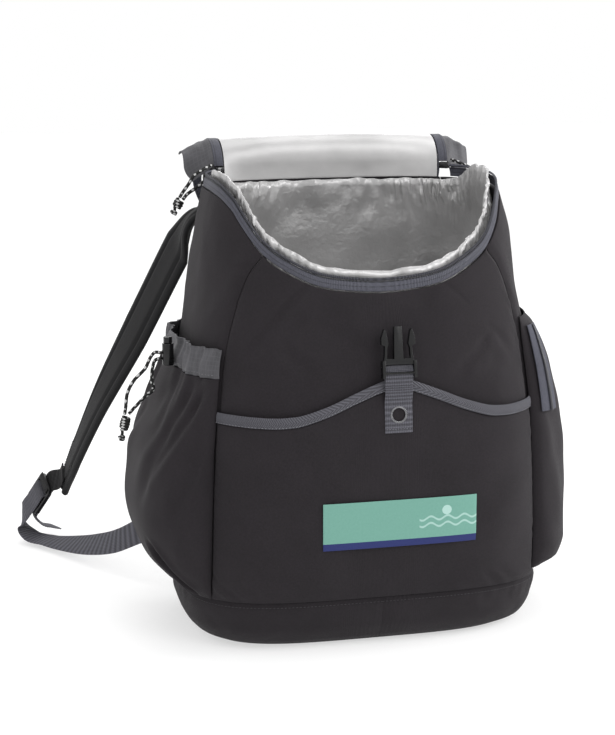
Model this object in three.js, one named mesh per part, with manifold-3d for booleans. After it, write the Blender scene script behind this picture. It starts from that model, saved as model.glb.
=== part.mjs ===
// Cooler backpack, standing with its lid thrown back over the wearer's side.
// Millimetres, +Z up. The front face looks along -Y and the shoulder straps are on the +Y side.
// The origin is the middle of the base, on the surface that the bag stands on.
import * as THREE from 'three';
import { mergeVertices } from 'three/addons/utils/BufferGeometryUtils.js';
import Module from 'manifold-3d';

const wasm = await Module();
wasm.setup();

// Body
const baseWidth = 340;
const frontDepth = 127; // from the widest line to the front face, at the base
const backDepth = 88; // from the widest line to the back face, at the base
const widestLine = 20; // Y of the line along which the bag is widest
const rimHeight = 405; // top edge of the back and side panels
const frontDip = 82; // how far the opening dips at the front
const bootHeight = 48; // seam between the base and the panels
const skin = 4.5; // outer fabric with its foam
const liningWall = 1.2;
const gap = 0.3; // between pieces that touch

// Lid
const lidLength = 190;
const lidHalfWidth = 107;
const lidRise = 15; // straight stretch above the hinge
const foldRadius = 24;
const foldTurn = 165; // degrees that the lid turns over backwards
const lidSkin = 5;
const lidWingWidth = 26;

// Zips
const tapeWidth = 10;
const tapeThickness = 1.7;
const coilWidth = 2.6;
const hingeAngle = 48; // where the lid's hinge ends, in degrees round the plan

// Front pocket, its tab and its patch
const frontCentre = 10; // X of the front pocket's own middle
const pocketWall = 1.5;
const bindingWidth = 10;
const bindingThickness = 2.6;
const webbingWidth = 25;
const webbingThickness = 1.8;
const eyeletHeight = 218;
const tabBottom = eyeletHeight - 16;
const frontPocketPeak = eyeletHeight + 28; // height of the binding behind the tab
const eyeletRadius = 8;
const eyeletHole = 6;
const patchWidth = 137;
const patchHeight = 43;
const patchBottom = 98;

// Buckle
const plugHeight = 37; // above its bar
const plugThickness = 5;
const plugRail = 2.6;
const barHeight = eyeletHeight + 41;
const barRadius = 1.3;

// Side pockets
const drawPocketTop = 249;
const casingHeight = 26;
const drawPocketBulge = 41;
const zipPocketTop = 292;
const zipPocketBottom = 54;
const zipPocketBulge = 29;

// Shoulder straps
const padWidth = 56;
const padThickness = 10;

// Cords
const cordDiameter = 3.2;

const deg = THREE.MathUtils.degToRad;
const lerp = THREE.MathUtils.lerp;
const smooth = (low, high, at) => THREE.MathUtils.smoothstep(at, low, high);

// Value of a table's column at a place between two of its rows.
function read(table, key, column, at) {
  if (at <= table[0][key]) return table[0][column];
  for (let i = 1; i < table.length; i++) {
    const above = table[i];
    const below = table[i - 1];
    if (at <= above[key]) {
      return lerp(below[column], above[column], (at - below[key]) / (above[key] - below[key]));
    }
  }
  return table[table.length - 1][column];
}

// The body's plan at a few heights. Heights are shares of the rim's height and the widths and
// depths are shares of the base's. A squarer plan has a higher number.
const bodySections = [
  { height: 0, width: 0.87, front: 0.8, back: 0.8, square: 3.8 },
  { height: 0.02, width: 0.945, front: 0.9, back: 0.9, square: 3.8 },
  { height: 0.055, width: 0.988, front: 0.965, back: 0.965, square: 3.8 },
  { height: 0.123, width: 1, front: 1, back: 1, square: 3.8 },
  { height: 0.27, width: 0.995, front: 1.035, back: 1, square: 3.7 },
  { height: 0.49, width: 0.97, front: 1.025, back: 1, square: 3.6 },
  { height: 0.665, width: 0.925, front: 0.96, back: 1, square: 3.5 },
  { height: 0.795, width: 0.885, front: 0.885, back: 0.99, square: 3.4 },
  { height: 0.915, width: 0.84, front: 0.8, back: 0.97, square: 3.3 },
  { height: 1, width: 0.795, front: 0.71, back: 0.94, square: 3.2 },
  { height: 1.06, width: 0.77, front: 0.67, back: 0.92, square: 3.2 },
];

const section = (column, z) => read(bodySections, 'height', column, z / rimHeight);

// A point of the body's skin. The angle runs round the plan from +X over +Y, so the front is at
// -90 degrees, and the offset is how far the point stands out from the skin.
function skinPoint(angle, z, offset = 0) {
  const c = Math.cos(deg(angle));
  const s = Math.sin(deg(angle));
  const power = 2 / section('square', z);
  const depth = s > 0 ? backDepth * section('back', z) : frontDepth * section('front', z);
  return new THREE.Vector3(
    (baseWidth / 2 * section('width', z) + offset) * Math.sign(c) * Math.abs(c) ** power,
    widestLine + (depth + offset) * Math.sign(s) * Math.abs(s) ** power,
    z,
  );
}

// The angle at which the skin's front has a given X.
function frontAngle(x, z) {
  const share = Math.min(1, Math.abs(x) / (baseWidth / 2 * section('width', z)));
  const turn = 90 - THREE.MathUtils.radToDeg(Math.acos(share ** (section('square', z) / 2)));
  return -90 + Math.sign(x) * turn;
}

// Height of the opening's edge, by how far round from the front it is.
const rimDips = [
  { round: 0, dip: 1 },
  { round: 10, dip: 0.93 },
  { round: 21, dip: 0.79 },
  { round: 33, dip: 0.615 },
  { round: 48, dip: 0.33 },
  { round: 60, dip: 0.135 },
  { round: 75, dip: 0.03 },
  { round: 90, dip: 0 },
];

function roundFromFront(angle) {
  const turned = ((angle + 90) % 360 + 360) % 360;
  return Math.min(turned, 360 - turned);
}

const rimZ = (angle) => rimHeight - frontDip * read(rimDips, 'round', 'dip', roundFromFront(angle));

// The seams between the front panel and the side panels, in degrees from the front's middle.
const frontSeam = [
  { up: 0, round: 53 },
  { up: 0.66, round: 53 },
  { up: 0.86, round: 47 },
  { up: 0.95, round: 41 },
  { up: 1, round: 35 },
];
const backSeamAngle = 44;
const seamGapAngle = 0.12;

// A closed body from points and triangles, with its faces turned outwards.
function closedBody(points, triangles) {
  const volume = triangles.reduce((sum, [a, b, c]) => (
    sum + points[a].dot(new THREE.Vector3().crossVectors(points[b], points[c]))), 0);
  const index = triangles.flatMap(([a, b, c]) => (volume > 0 ? [a, b, c] : [a, c, b]));
  const geometry = new THREE.BufferGeometry();
  const places = points.flatMap((p) => [p.x, p.y, p.z]);
  geometry.setAttribute('position', new THREE.Float32BufferAttribute(places, 3));
  geometry.setIndex(index);
  return geometry;
}

// A sheet with a front and a back face. Both faces are functions of a share across and a share up.
function sheet(across, up, front, back) {
  const points = [];
  const triangles = [];
  for (const face of [front, back]) {
    for (let j = 0; j <= up; j++) {
      for (let i = 0; i <= across; i++) points.push(face(i / across, j / up));
    }
  }
  const row = across + 1;
  const behind = row * (up + 1);
  const quad = (a, b, c, d) => triangles.push([a, b, c], [a, c, d]);
  for (let j = 0; j < up; j++) {
    for (let i = 0; i < across; i++) {
      const corner = j * row + i;
      quad(corner, corner + 1, corner + row + 1, corner + row);
      quad(behind + corner, behind + corner + row, behind + corner + row + 1, behind + corner + 1);
    }
  }
  for (let i = 0; i < across; i++) {
    const top = up * row + i;
    quad(i, behind + i, behind + i + 1, i + 1);
    quad(top, top + 1, behind + top + 1, behind + top);
  }
  for (let j = 0; j < up; j++) {
    const left = j * row;
    const right = left + across;
    quad(left, left + row, behind + left + row, behind + left);
    quad(right, behind + right, behind + right + row, right + row);
  }
  return closedBody(points, triangles);
}

// Loops of equal length joined in turn, with a fan over the first and the last.
function loft(loops) {
  const count = loops[0].length;
  const points = loops.flat();
  const triangles = [];
  for (let k = 0; k + 1 < loops.length; k++) {
    for (let i = 0; i < count; i++) {
      const a = k * count + i;
      const b = k * count + (i + 1) % count;
      triangles.push([a, b, b + count], [a, b + count, a + count]);
    }
  }
  for (const [first, reversed] of [[0, true], [(loops.length - 1) * count, false]]) {
    const middle = new THREE.Vector3();
    for (let i = 0; i < count; i++) middle.addScaledVector(points[first + i], 1 / count);
    const hub = points.push(middle) - 1;
    for (let i = 0; i < count; i++) {
      const a = first + i;
      const b = first + (i + 1) % count;
      triangles.push(reversed ? [b, a, hub] : [a, b, hub]);
    }
  }
  return closedBody(points, triangles);
}

// A flat section swept along a table of places. The turn column is the direction of the section's
// width, in degrees from +X towards +Y, and lean tips that width up out of the level.
function sweep(rows, steps, profile) {
  const curve = new THREE.CatmullRomCurve3(rows.map((r) => new THREE.Vector3(r.x, r.y, r.z)), false,
    'centripetal');
  const loops = [];
  for (let k = 0; k <= steps; k++) {
    const at = k / steps;
    const place = curve.getPoint(at);
    const along = curve.getTangent(at);
    const row = at * (rows.length - 1);
    const low = Math.min(Math.floor(row), rows.length - 2);
    const turn = deg(lerp(rows[low].turn, rows[low + 1].turn, row - low));
    const lean = deg(lerp(rows[low].lean ?? 0, rows[low + 1].lean ?? 0, row - low));
    const wide = new THREE.Vector3(Math.cos(turn) * Math.cos(lean), Math.sin(turn) * Math.cos(lean),
      Math.sin(lean));
    wide.addScaledVector(along, -wide.dot(along)).normalize();
    const thick = new THREE.Vector3().crossVectors(along, wide);
    loops.push(profile(at).map(([a, b]) => place.clone().addScaledVector(wide, a)
      .addScaledVector(thick, b)));
  }
  return loft(loops);
}

const flatSection = (width, thickness) => [
  [-width / 2, -thickness / 2], [width / 2, -thickness / 2],
  [width / 2, thickness / 2], [-width / 2, thickness / 2],
];

const padSection = (width, thickness) => [
  [-1, 0], [-0.9, -0.8], [0, -1], [0.9, -0.8], [1, 0], [0.9, 0.8], [0, 1], [-0.9, 0.8],
].map(([a, b]) => [a * width / 2, b * thickness / 2]);

// Booleans
function toManifold(geometry) {
  const bare = geometry.clone();
  bare.deleteAttribute('normal');
  bare.deleteAttribute('uv');
  const merged = mergeVertices(bare, 1e-4);
  return new wasm.Manifold(new wasm.Mesh({
    numProp: 3,
    vertProperties: new Float32Array(merged.attributes.position.array),
    triVerts: new Uint32Array(merged.index.array),
  }));
}

function fromManifold(body) {
  const mesh = body.getMesh();
  const geometry = new THREE.BufferGeometry();
  geometry.setAttribute('position', new THREE.BufferAttribute(mesh.vertProperties, 3));
  geometry.setIndex(new THREE.BufferAttribute(mesh.triVerts, 1));
  return geometry;
}

// Materials
const fabric = (color, roughness) => new THREE.MeshStandardMaterial({ color, roughness });
const materials = {
  polyester: fabric(0x302e32, 0.85),
  charcoal: fabric(0x4a4a4e, 0.7),
  lining: new THREE.MeshStandardMaterial({ color: 0xb9bbc0, roughness: 0.35, metalness: 0.4 }),
  zipTape: fabric(0x50525f, 0.75),
  coil: fabric(0x2c2d34, 0.5),
  webbing: fabric(0x6c6e76, 0.8),
  binding: fabric(0x747479, 0.8),
  strap: fabric(0x1f1f20, 0.85),
  plastic: fabric(0x151516, 0.4),
  cord: fabric(0x161617, 0.7),
  metal: new THREE.MeshStandardMaterial({ color: 0x3c3d42, roughness: 0.3, metalness: 0.9 }),
  patch: fabric(0x5cb3a3, 0.6),
};

const backpack = new THREE.Group();

function add(name, geometry, material, move) {
  const mesh = new THREE.Mesh(geometry, material);
  mesh.name = name;
  if (move) move(mesh);
  backpack.add(mesh);
}

// Panels of the body
const panelRows = 8;
const panelZ = (angleAtRim, up) => lerp(bootHeight + gap, rimZ(angleAtRim), up);

function panel(name, columns, angleAt) {
  const face = (offset) => (across, up) => (
    skinPoint(angleAt(across, up), panelZ(angleAt(across, 1), up), offset));
  add(name, sheet(columns, panelRows, face(0), face(-skin)), materials.polyester);
}

const seamRound = (up) => read(frontSeam, 'up', 'round', up);
panel('front_panel', 14, (across, up) => -90 + (2 * across - 1) * (seamRound(up) - seamGapAngle));
panel('side_panel_right', 10, (across, up) => (
  lerp(-90 + seamRound(up) + seamGapAngle, backSeamAngle - seamGapAngle, across)));
panel('side_panel_left', 10, (across, up) => (
  lerp(180 - backSeamAngle + seamGapAngle, 270 - seamRound(up) - seamGapAngle, across)));
panel('back_panel', 10, (across) => (
  lerp(backSeamAngle + seamGapAngle, 180 - backSeamAngle - seamGapAngle, across)));

// Closed rings round the whole plan
const planSteps = 44;
const planAngle = (i) => -90 + 360 * i / planSteps;
const ring = (place) => Array.from({ length: planSteps }, (_, i) => place(planAngle(i)));

const bootOuter = [0, 0.17, 0.46, 1].map((share) => ring((a) => skinPoint(a, bootHeight * share)));
const bootInner = [1, 0.46, skin / bootHeight].map((share) => (
  ring((a) => skinPoint(a, bootHeight * share, -skin))));
add('base_boot', loft([...bootOuter, ...bootInner]), materials.polyester);

// Where the lid is hinged, the lining stops at the rim. Elsewhere it stands up behind the zip.
const liningStand = 19;
const hingeStart = 90 + hingeAngle;
const liningTop = (a) => rimZ(a) - 1 + liningStand * (1 - smooth(88, 122, roundFromFront(a)));
const liningFloor = skin + gap;
const liningRing = (share, offset, lift) => ring((a) => (
  skinPoint(a, lerp(liningFloor + lift, liningTop(a), share), offset)));
const liningHeights = [0, 0.12, 0.42, 0.72, 1];
const liningOffset = -(skin + 1.3);
add('lining', loft([
  ...liningHeights.map((share) => liningRing(share, liningOffset, 0)),
  ...[...liningHeights].reverse().map((share) => (
    liningRing(share, liningOffset - liningWall, liningWall))),
]), materials.lining);

// Zip round the opening, from one end of the hinge to the other
const zipSpan = hingeStart - 12.2;
const bandPoint = (lift, offset) => (across) => {
  const angle = -90 + (2 * across - 1) * zipSpan;
  return skinPoint(angle, rimZ(angle) + lift, offset);
};

function rimBand(name, low, high, offset, thickness, material) {
  const face = (out) => (across, up) => bandPoint(lerp(low, high, up), out)(across);
  add(name, sheet(40, 1, face(offset), face(offset - thickness)), material);
}

rimBand('rim_zip_tape', 1, tapeWidth, -0.4, tapeThickness, materials.zipTape);
rimBand('rim_zip_coil', tapeWidth + gap, tapeWidth + gap + coilWidth, 0, coilWidth, materials.coil);

// The lid is drawn flat, then bent over. Flat places are x across and s along from the hinge.
const lidSide = lidLength / 2; // where the rounded end begins
const lidWidths = [
  { along: 0, width: 0.98 },
  { along: 0.35, width: 1 },
  { along: 0.6, width: 1.1 },
  { along: 1, width: 1.06 },
];
const lidWidth = (s) => lidHalfWidth * read(lidWidths, 'along', 'width', s / lidLength);
const lidReach = (across) => lidSide + (lidLength - lidSide) * Math.sqrt(Math.max(0, 1 - across ** 2));
const lidColumns = 12;
const lidRows = 12;
const lidSpread = (share) => Math.sin(Math.PI / 2 * (2 * share - 1)); // crowds the columns to the sides

function lidFlat(share, along) {
  const across = lidSpread(share);
  const s = lidReach(across) * along;
  return { x: across * lidWidth(s), s };
}

const hingeInset = 5;
const hingeY = (x) => {
  const half = baseWidth / 2 * section('width', rimHeight);
  const power = section('square', rimHeight);
  const side = Math.min(Math.abs(x), lidHalfWidth) / half;
  return widestLine + backDepth * section('back', rimHeight) * (1 - side ** power) ** (1 / power);
};
const hingeStraighten = 60;
const lidCrown = 3;

// A place on the bent lid. Height h stands out from the lining's face.
function lidPoint(x, s, h) {
  const bend = deg(foldTurn);
  const arc = THREE.MathUtils.clamp((s - lidRise) / foldRadius, 0, bend);
  const hang = Math.max(0, s - lidRise - foldRadius * bend);
  const heading = Math.PI / 2 - arc;
  const straight = hingeY(0) - 8;
  const start = lerp(hingeY(x), straight, smooth(0, hingeStraighten, s)) - hingeInset;
  const crown = lidCrown * smooth(0, hingeStraighten, s) * (1 - Math.min(1, (x / lidHalfWidth) ** 2));
  return new THREE.Vector3(
    x,
    start + foldRadius * (1 - Math.cos(arc)) + hang * Math.cos(heading) - h * Math.sin(heading),
    rimHeight + gap + Math.min(s, lidRise) + foldRadius * Math.sin(arc) + hang * Math.sin(heading)
      + h * Math.cos(heading) + crown,
  );
}

function lidLayer(name, top, bottom, material) {
  const face = (h) => (share, along) => {
    const flat = lidFlat(share, along);
    return lidPoint(flat.x, flat.s, h);
  };
  add(name, sheet(lidColumns, lidRows, face(top), face(bottom)), material);
}

lidLayer('lid_lining', 0, -liningWall, materials.lining);
lidLayer('lid_shell', -liningWall - gap, -liningWall - gap - lidSkin, materials.polyester);

// The lid's outline from the left end of the hinge round to the right end, with its outward normal.
function lidOutline(share) {
  const place = (at) => {
    if (at < 1 / 3) return lidFlat(0, at * 3);
    if (at < 2 / 3) return lidFlat(at * 3 - 1, 1);
    return lidFlat(1, 3 - at * 3);
  };
  const step = 0.002;
  const before = place(Math.max(0, share - step));
  const after = place(Math.min(1, share + step));
  const length = Math.hypot(after.x - before.x, after.s - before.s);
  const out = { x: -(after.s - before.s) / length, s: (after.x - before.x) / length };
  return { ...place(share), out };
}

function lidBand(name, columns, rows, from, to, near, far, height, thickness, material, sag = () => 0) {
  const face = (drop) => (share, outward) => {
    const edge = lidOutline(lerp(from, to, share));
    const reach = lerp(near, far(edge.s), outward);
    const s = Math.max(0, edge.s + edge.out.s * reach);
    const place = lidPoint(edge.x + edge.out.x * reach, s, height(reach) - drop);
    place.z -= sag(edge.s, reach);
    return place;
  };
  add(name, sheet(columns, rows, face(0), face(thickness)), material);
}

const bandStart = lidRise / lidSide / 3;
lidBand('lid_zip_tape', 36, 1, bandStart, 1 - bandStart, 1.3, () => tapeWidth, () => 0,
  tapeThickness, materials.zipTape);

// Ripstop wings beside the lid, widest over the fold
const wingStart = tapeWidth + gap;
const wingWidths = [
  { s: 0, share: 0.7 },
  { s: 15, share: 0.75 },
  { s: 30, share: 1 },
  { s: 75, share: 1 },
  { s: 95, share: 0.3 },
];
const wingReach = (s) => wingStart + lidWingWidth * read(wingWidths, 's', 'share', s);
const wingDroop = 0.45;
const wingHeight = (reach) => -0.3 - wingDroop * (reach - wingStart);
const wingSag = (s, reach) => 0.75 * (reach - wingStart) * (1 - smooth(15, 42, s));
lidBand('lid_wing_left', 12, 2, bandStart, 0.32, wingStart, wingReach, wingHeight, 1.8,
  materials.charcoal, wingSag);
lidBand('lid_wing_right', 12, 2, 0.68, 1 - bandStart, wingStart, wingReach, wingHeight, 1.8,
  materials.charcoal, wingSag);

// Front pocket: its top edge by distance from its own middle
const pocketEdge = [
  { out: 0, drop: 0 },
  { out: 12, drop: 0.09 },
  { out: 36, drop: 0.37 },
  { out: 65, drop: 0.75 },
  { out: 90, drop: 0.97 },
  { out: 105, drop: 1 },
  { out: 150, drop: 0.95 },
];
const pocketEdgeDrop = 32;
const edgeZ = (x) => (
  frontPocketPeak - pocketEdgeDrop * read(pocketEdge, 'out', 'drop', Math.abs(x - frontCentre)));
const frontBulge = 3;

// How far the pocket's inner face stands off the panel
function frontSpace(angle, z) {
  const round = roundFromFront(angle) / frontSeam[0].round;
  return gap + frontBulge * (1 - Math.min(1, round) ** 4) * smooth(bootHeight, bootHeight + 60, z);
}

const pocketRound = frontSeam[0].round - seamGapAngle;
const pocketAngle = (across) => -90 + (2 * across - 1) * pocketRound;

function frontLayer(name, columns, rows, lowZ, highZ, from, to, material) {
  const face = (offset) => (across, up) => {
    const angle = pocketAngle(across);
    const edge = edgeZ(skinPoint(angle, frontPocketPeak - pocketEdgeDrop).x);
    const z = lerp(lowZ(edge), highZ(edge), up);
    return skinPoint(angle, z, frontSpace(angle, z) + offset);
  };
  add(name, sheet(columns, rows, face(to), face(from)), material);
}

const underBinding = bindingWidth / 2;
frontLayer('front_pocket', 24, 6, () => bootHeight + gap, (edge) => edge - underBinding - gap,
  0, pocketWall, materials.polyester);
frontLayer('pocket_binding', 24, 1, (edge) => edge - underBinding, (edge) => edge + underBinding,
  0, bindingThickness, materials.binding);

// Patch on the front pocket
const patchLift = pocketWall + 0.9;
const patchFace = (offset) => (across, up) => {
  const z = patchBottom + patchHeight * up;
  const angle = frontAngle(frontCentre + 2 + patchWidth * (across - 0.5), z);
  return skinPoint(angle, z, frontSpace(angle, z) + offset);
};
add('emblem_patch', sheet(8, 2, patchFace(patchLift + 0.9), patchFace(patchLift)), materials.patch);

// A place in front of the panels, at the front pocket's middle
function frontPlace(z, offset) {
  const p = skinPoint(frontAngle(frontCentre, z), z, offset);
  return { x: frontCentre, y: p.y, z, turn: 0 };
}

// Tab: webbing sewn to the pocket, round the plug's bar and down behind itself
const layer = webbingThickness + gap;
const onPocket = frontBulge + gap + pocketWall + gap + webbingThickness / 2;
const onBinding = frontBulge + gap + bindingThickness + gap + webbingThickness / 2;
const barLoop = barRadius + gap + webbingThickness / 2;
const barPlace = frontPlace(barHeight, onBinding + barLoop + gap);
const frontLean = Math.atan2(
  frontPlace(barHeight + plugHeight, 0).y - frontPlace(barHeight, 0).y, plugHeight);
const fromBar = (up, out) => ({
  x: frontCentre,
  y: barPlace.y + up * Math.sin(frontLean) - out * Math.cos(frontLean),
  z: barPlace.z + up * Math.cos(frontLean) + out * Math.sin(frontLean),
  turn: 0,
});
const underBindingZ = frontPocketPeak - bindingWidth / 2;
const tabRows = [
  frontPlace(tabBottom, onPocket),
  frontPlace(tabBottom + 12, onPocket),
  frontPlace(eyeletHeight + 11, onPocket),
  frontPlace(underBindingZ - 2, onBinding + layer),
  frontPlace(underBindingZ + 4, onBinding + layer + 0.5),
  fromBar(-4, barLoop),
  fromBar(0, barLoop),
  fromBar(barLoop * 0.75, barLoop * 0.66),
  fromBar(barLoop, 0),
  fromBar(barLoop * 0.75, -barLoop * 0.66),
  fromBar(0, -barLoop),
  fromBar(-4, -barLoop),
  frontPlace(underBindingZ, onBinding),
];
const tabBody = sweep(tabRows, 24, () => flatSection(webbingWidth, webbingThickness));
const eyeletLean = Math.atan2(tabRows[1].y - tabRows[0].y, tabRows[1].z - tabRows[0].z);
const eyeletPlace = frontPlace(eyeletHeight, onPocket);

// Turns a shape whose axis is Y so that it faces out of the front
function faceFront(geometry) {
  geometry.rotateX(Math.PI - eyeletLean);
  geometry.translate(eyeletPlace.x, eyeletPlace.y, eyeletPlace.z);
  return geometry;
}

const barrelRadius = eyeletHole + 0.8;
const punch = faceFront(new THREE.CylinderGeometry(barrelRadius + gap, barrelRadius + gap, 8, 16));
add('webbing_tab', fromManifold(toManifold(tabBody).subtract(toManifold(punch))), materials.webbing);
const flange = webbingThickness / 2 + gap;
const eyeletProfile = [
  [eyeletHole, -0.8], [barrelRadius, -0.8], [barrelRadius, flange],
  [eyeletRadius, flange], [eyeletRadius - 0.3, flange + 0.9], [eyeletHole, flange + 0.7],
  [eyeletHole, -0.8],
].map(([r, y]) => new THREE.Vector2(r, y));
add('eyelet', faceFront(new THREE.LatheGeometry(eyeletProfile, 16)), materials.metal);

// Plug of the buckle, drawn flat about its bar and stood up in front of the panel
const railIn = webbingWidth / 2 + 0.4;
const railOut = railIn + plugRail;
const slotTop = barLoop + webbingThickness / 2 + gap;
const plugHalf = [
  [0, slotTop], [railIn, slotTop], [railIn, -8], [railOut, -8], [railOut, 7], [railOut - 2, 7.4],
  [12.8, 12], [12.3, 20], [railOut - 0.1, 21.5], [railOut - 0.1, 27], [12.6, 35], [11, 33],
  [9, 22], [10.3, 18], [10.8, 9], [4.2, 8.6], [3.4, plugHeight],
];
const plugShape = new THREE.Shape([
  ...plugHalf.map(([x, y]) => new THREE.Vector2(x, y)),
  ...[...plugHalf].slice(1).reverse().map(([x, y]) => new THREE.Vector2(-x, y)),
]);

function block(width, height, depth, x, y, z) {
  return new THREE.BoxGeometry(width, height, depth).translate(x, y, z);
}

const plate = new THREE.ExtrudeGeometry(plugShape, { depth: plugThickness, bevelEnabled: false })
  .translate(0, 0, -plugThickness / 2);
const frontBarZ = barLoop + webbingThickness / 2 + gap + 0.7;
const plugBody = [
  new THREE.CylinderGeometry(barRadius, barRadius, 2 * railIn + 1, 8).rotateZ(Math.PI / 2),
  block(2 * railOut, 1.6, 1.4, 0, -3.8, frontBarZ),
  block(plugRail, 15, frontBarZ + 0.7, railIn + plugRail / 2, -0.5, (frontBarZ + 0.7) / 2),
  block(plugRail, 15, frontBarZ + 0.7, -railIn - plugRail / 2, -0.5, (frontBarZ + 0.7) / 2),
].reduce((body, piece) => body.add(toManifold(piece)), toManifold(plate));
add('buckle_plug', fromManifold(plugBody), materials.plastic, (mesh) => {
  mesh.rotation.x = Math.PI / 2 - frontLean;
  mesh.position.set(barPlace.x, barPlace.y, barPlace.z);
});

// Side pockets. Each bulge is a share of its greatest, by height.
const drawBulges = [
  { z: 48, share: 0.02 },
  { z: 60, share: 0.36 },
  { z: 81, share: 0.78 },
  { z: 119, share: 1 },
  { z: 166, share: 0.94 },
  { z: 203, share: 0.64 },
  { z: 235, share: 0.34 },
  { z: 250, share: 0.24 },
  { z: 275, share: 0.2 },
];
const zipBulges = [
  { z: 54, share: 0.3 },
  { z: 62, share: 0.82 },
  { z: 78, share: 1 },
  { z: 119, share: 0.98 },
  { z: 190, share: 0.88 },
  { z: 241, share: 0.74 },
  { z: 270, share: 0.48 },
  { z: 283, share: 0.28 },
  { z: 292, share: 0.02 },
];
const pocketFront = frontSeam[0].round + seamGapAngle;
const pocketSpan = 90 + backSeamAngle - pocketFront;
const pleats = 5;
const pleatDepth = 2.2;

// Space between a side pocket and the panel, by share of the way from the front seam to the back
function sideSpace(bulges, depth, share, z, gathers) {
  const round = Math.sin(Math.PI * THREE.MathUtils.clamp(share, 0, 1)) ** 0.62;
  const fold = gathers * pleatDepth * round * Math.sin(2 * Math.PI * pleats * share);
  return 2 * gap + Math.max(0, depth * round * read(bulges, 'z', 'share', z) + fold);
}

const leftAngle = (share) => 270 - pocketFront - pocketSpan * share;
const rightAngle = (share) => -90 + pocketFront + pocketSpan * share;

function sideLayer(name, angleAt, columns, rows, low, high, space, from, to, material) {
  const face = (offset) => (share, up) => {
    const z = lerp(low, high, up);
    return skinPoint(angleAt(share), z, space(share, z) + offset);
  };
  add(name, sheet(columns, rows, face(to), face(from)), material);
}

const gathersAt = (z) => smooth(170, drawPocketTop, z);
const drawSpace = (share, z) => sideSpace(drawBulges, drawPocketBulge, share, z, gathersAt(z));
const zipSpace = (share, z) => sideSpace(zipBulges, zipPocketBulge, share, z, 0);
sideLayer('side_pocket_left', leftAngle, 20, 9, bootHeight + gap, drawPocketTop, drawSpace,
  0, pocketWall, materials.polyester);
sideLayer('pocket_casing_left', leftAngle, 24, 2, drawPocketTop + gap, drawPocketTop + casingHeight,
  drawSpace, 0.2, pocketWall + 0.7, materials.charcoal);
sideLayer('side_pocket_right', rightAngle, 14, 10, zipPocketBottom, zipPocketTop, zipSpace,
  0, pocketWall, materials.polyester);

// Zip down the front edge of the right pocket
const pocketZipFrom = 0.035;
const pocketZipTo = 0.16;
const pocketZipBottom = 205;
const zipStrip = (share) => lerp(pocketZipFrom, pocketZipTo, share);
const tapeFace = (offset) => (share, up) => {
  const z = lerp(pocketZipBottom, zipPocketTop - 8, up);
  return skinPoint(rightAngle(zipStrip(share)), z, zipSpace(zipStrip(share), z) + offset);
};
const onZipPocket = pocketWall + 0.8;
add('pocket_zip_tape', sheet(4, 8, tapeFace(onZipPocket + 1.2), tapeFace(onZipPocket)),
  materials.zipTape);
const coilFace = (offset) => (share, up) => (
  tapeFace(onZipPocket + 1.2 + gap + offset)(lerp(0.42, 0.6, share), up));
add('pocket_zip_coil', sheet(1, 8, coilFace(1.3), coilFace(0)), materials.coil);

// The same body on the other side of the bag
const mirrored = (geometry) => fromManifold(toManifold(geometry).mirror([1, 0, 0]));

function addPair(name, geometry, material) {
  add(`${name}_left`, geometry, material);
  add(`${name}_right`, mirrored(geometry), material);
}

// Shoulder straps, as the left one lies. Where they join the bag they follow its width and height,
// and they lie on the ground as drawn: the last number of each row is its share of that.
const drawnWidth = 340;
const drawnHeight = 405;
const alongBag = (rows) => rows.map(([x, y, z, turn, lean, share]) => ({
  x: x - share * (baseWidth - drawnWidth) / 2,
  y,
  z: z + share * (rimHeight - drawnHeight),
  turn,
  lean,
}));
const padRows = alongBag([
  [-92, 103.8, 394, 22.5, 0, 1],
  [-101, 113.7, 383, 34, 4, 0.95],
  [-128, 117, 370, 60, 16, 0.9],
  [-143, 137, 336, 98, 30, 0.8],
  [-181, 168, 250, 98, 27, 0.53],
  [-216, 200, 172, 88, 25, 0.28],
  [-236, 235, 112, 80, 29, 0.09],
  [-248, 265, 68, 84, 33, 0],
]);
const taperedPad = (at) => (
  padSection(padWidth * (1 - 0.4 * smooth(0.85, 1, at)), padThickness));
addPair('strap_pad', sweep(padRows, 18, taperedPad), materials.strap);

// Ladder lock at the strap's lower end. It has its own frame: down its length, and out towards
// the bag, with its width along the turn and the lean.
const lockCentre = new THREE.Vector3(-274, 277, 55);
const lockTurn = 100.7;
const lockLean = 30;
const lockWide = new THREE.Vector3(Math.cos(deg(lockTurn)) * Math.cos(deg(lockLean)),
  Math.sin(deg(lockTurn)) * Math.cos(deg(lockLean)), Math.sin(deg(lockLean)));
const lockDown = new THREE.Vector3(-0.445, 0.39, -0.806);
lockDown.addScaledVector(lockWide, -lockDown.dot(lockWide)).normalize();
const lockOut = new THREE.Vector3().crossVectors(lockDown, lockWide);
const atLock = (down, out) => {
  const p = lockCentre.clone().addScaledVector(lockDown, down).addScaledVector(lockOut, out);
  return { x: p.x, y: p.y, z: p.z, turn: lockTurn, lean: lockLean };
};

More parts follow.
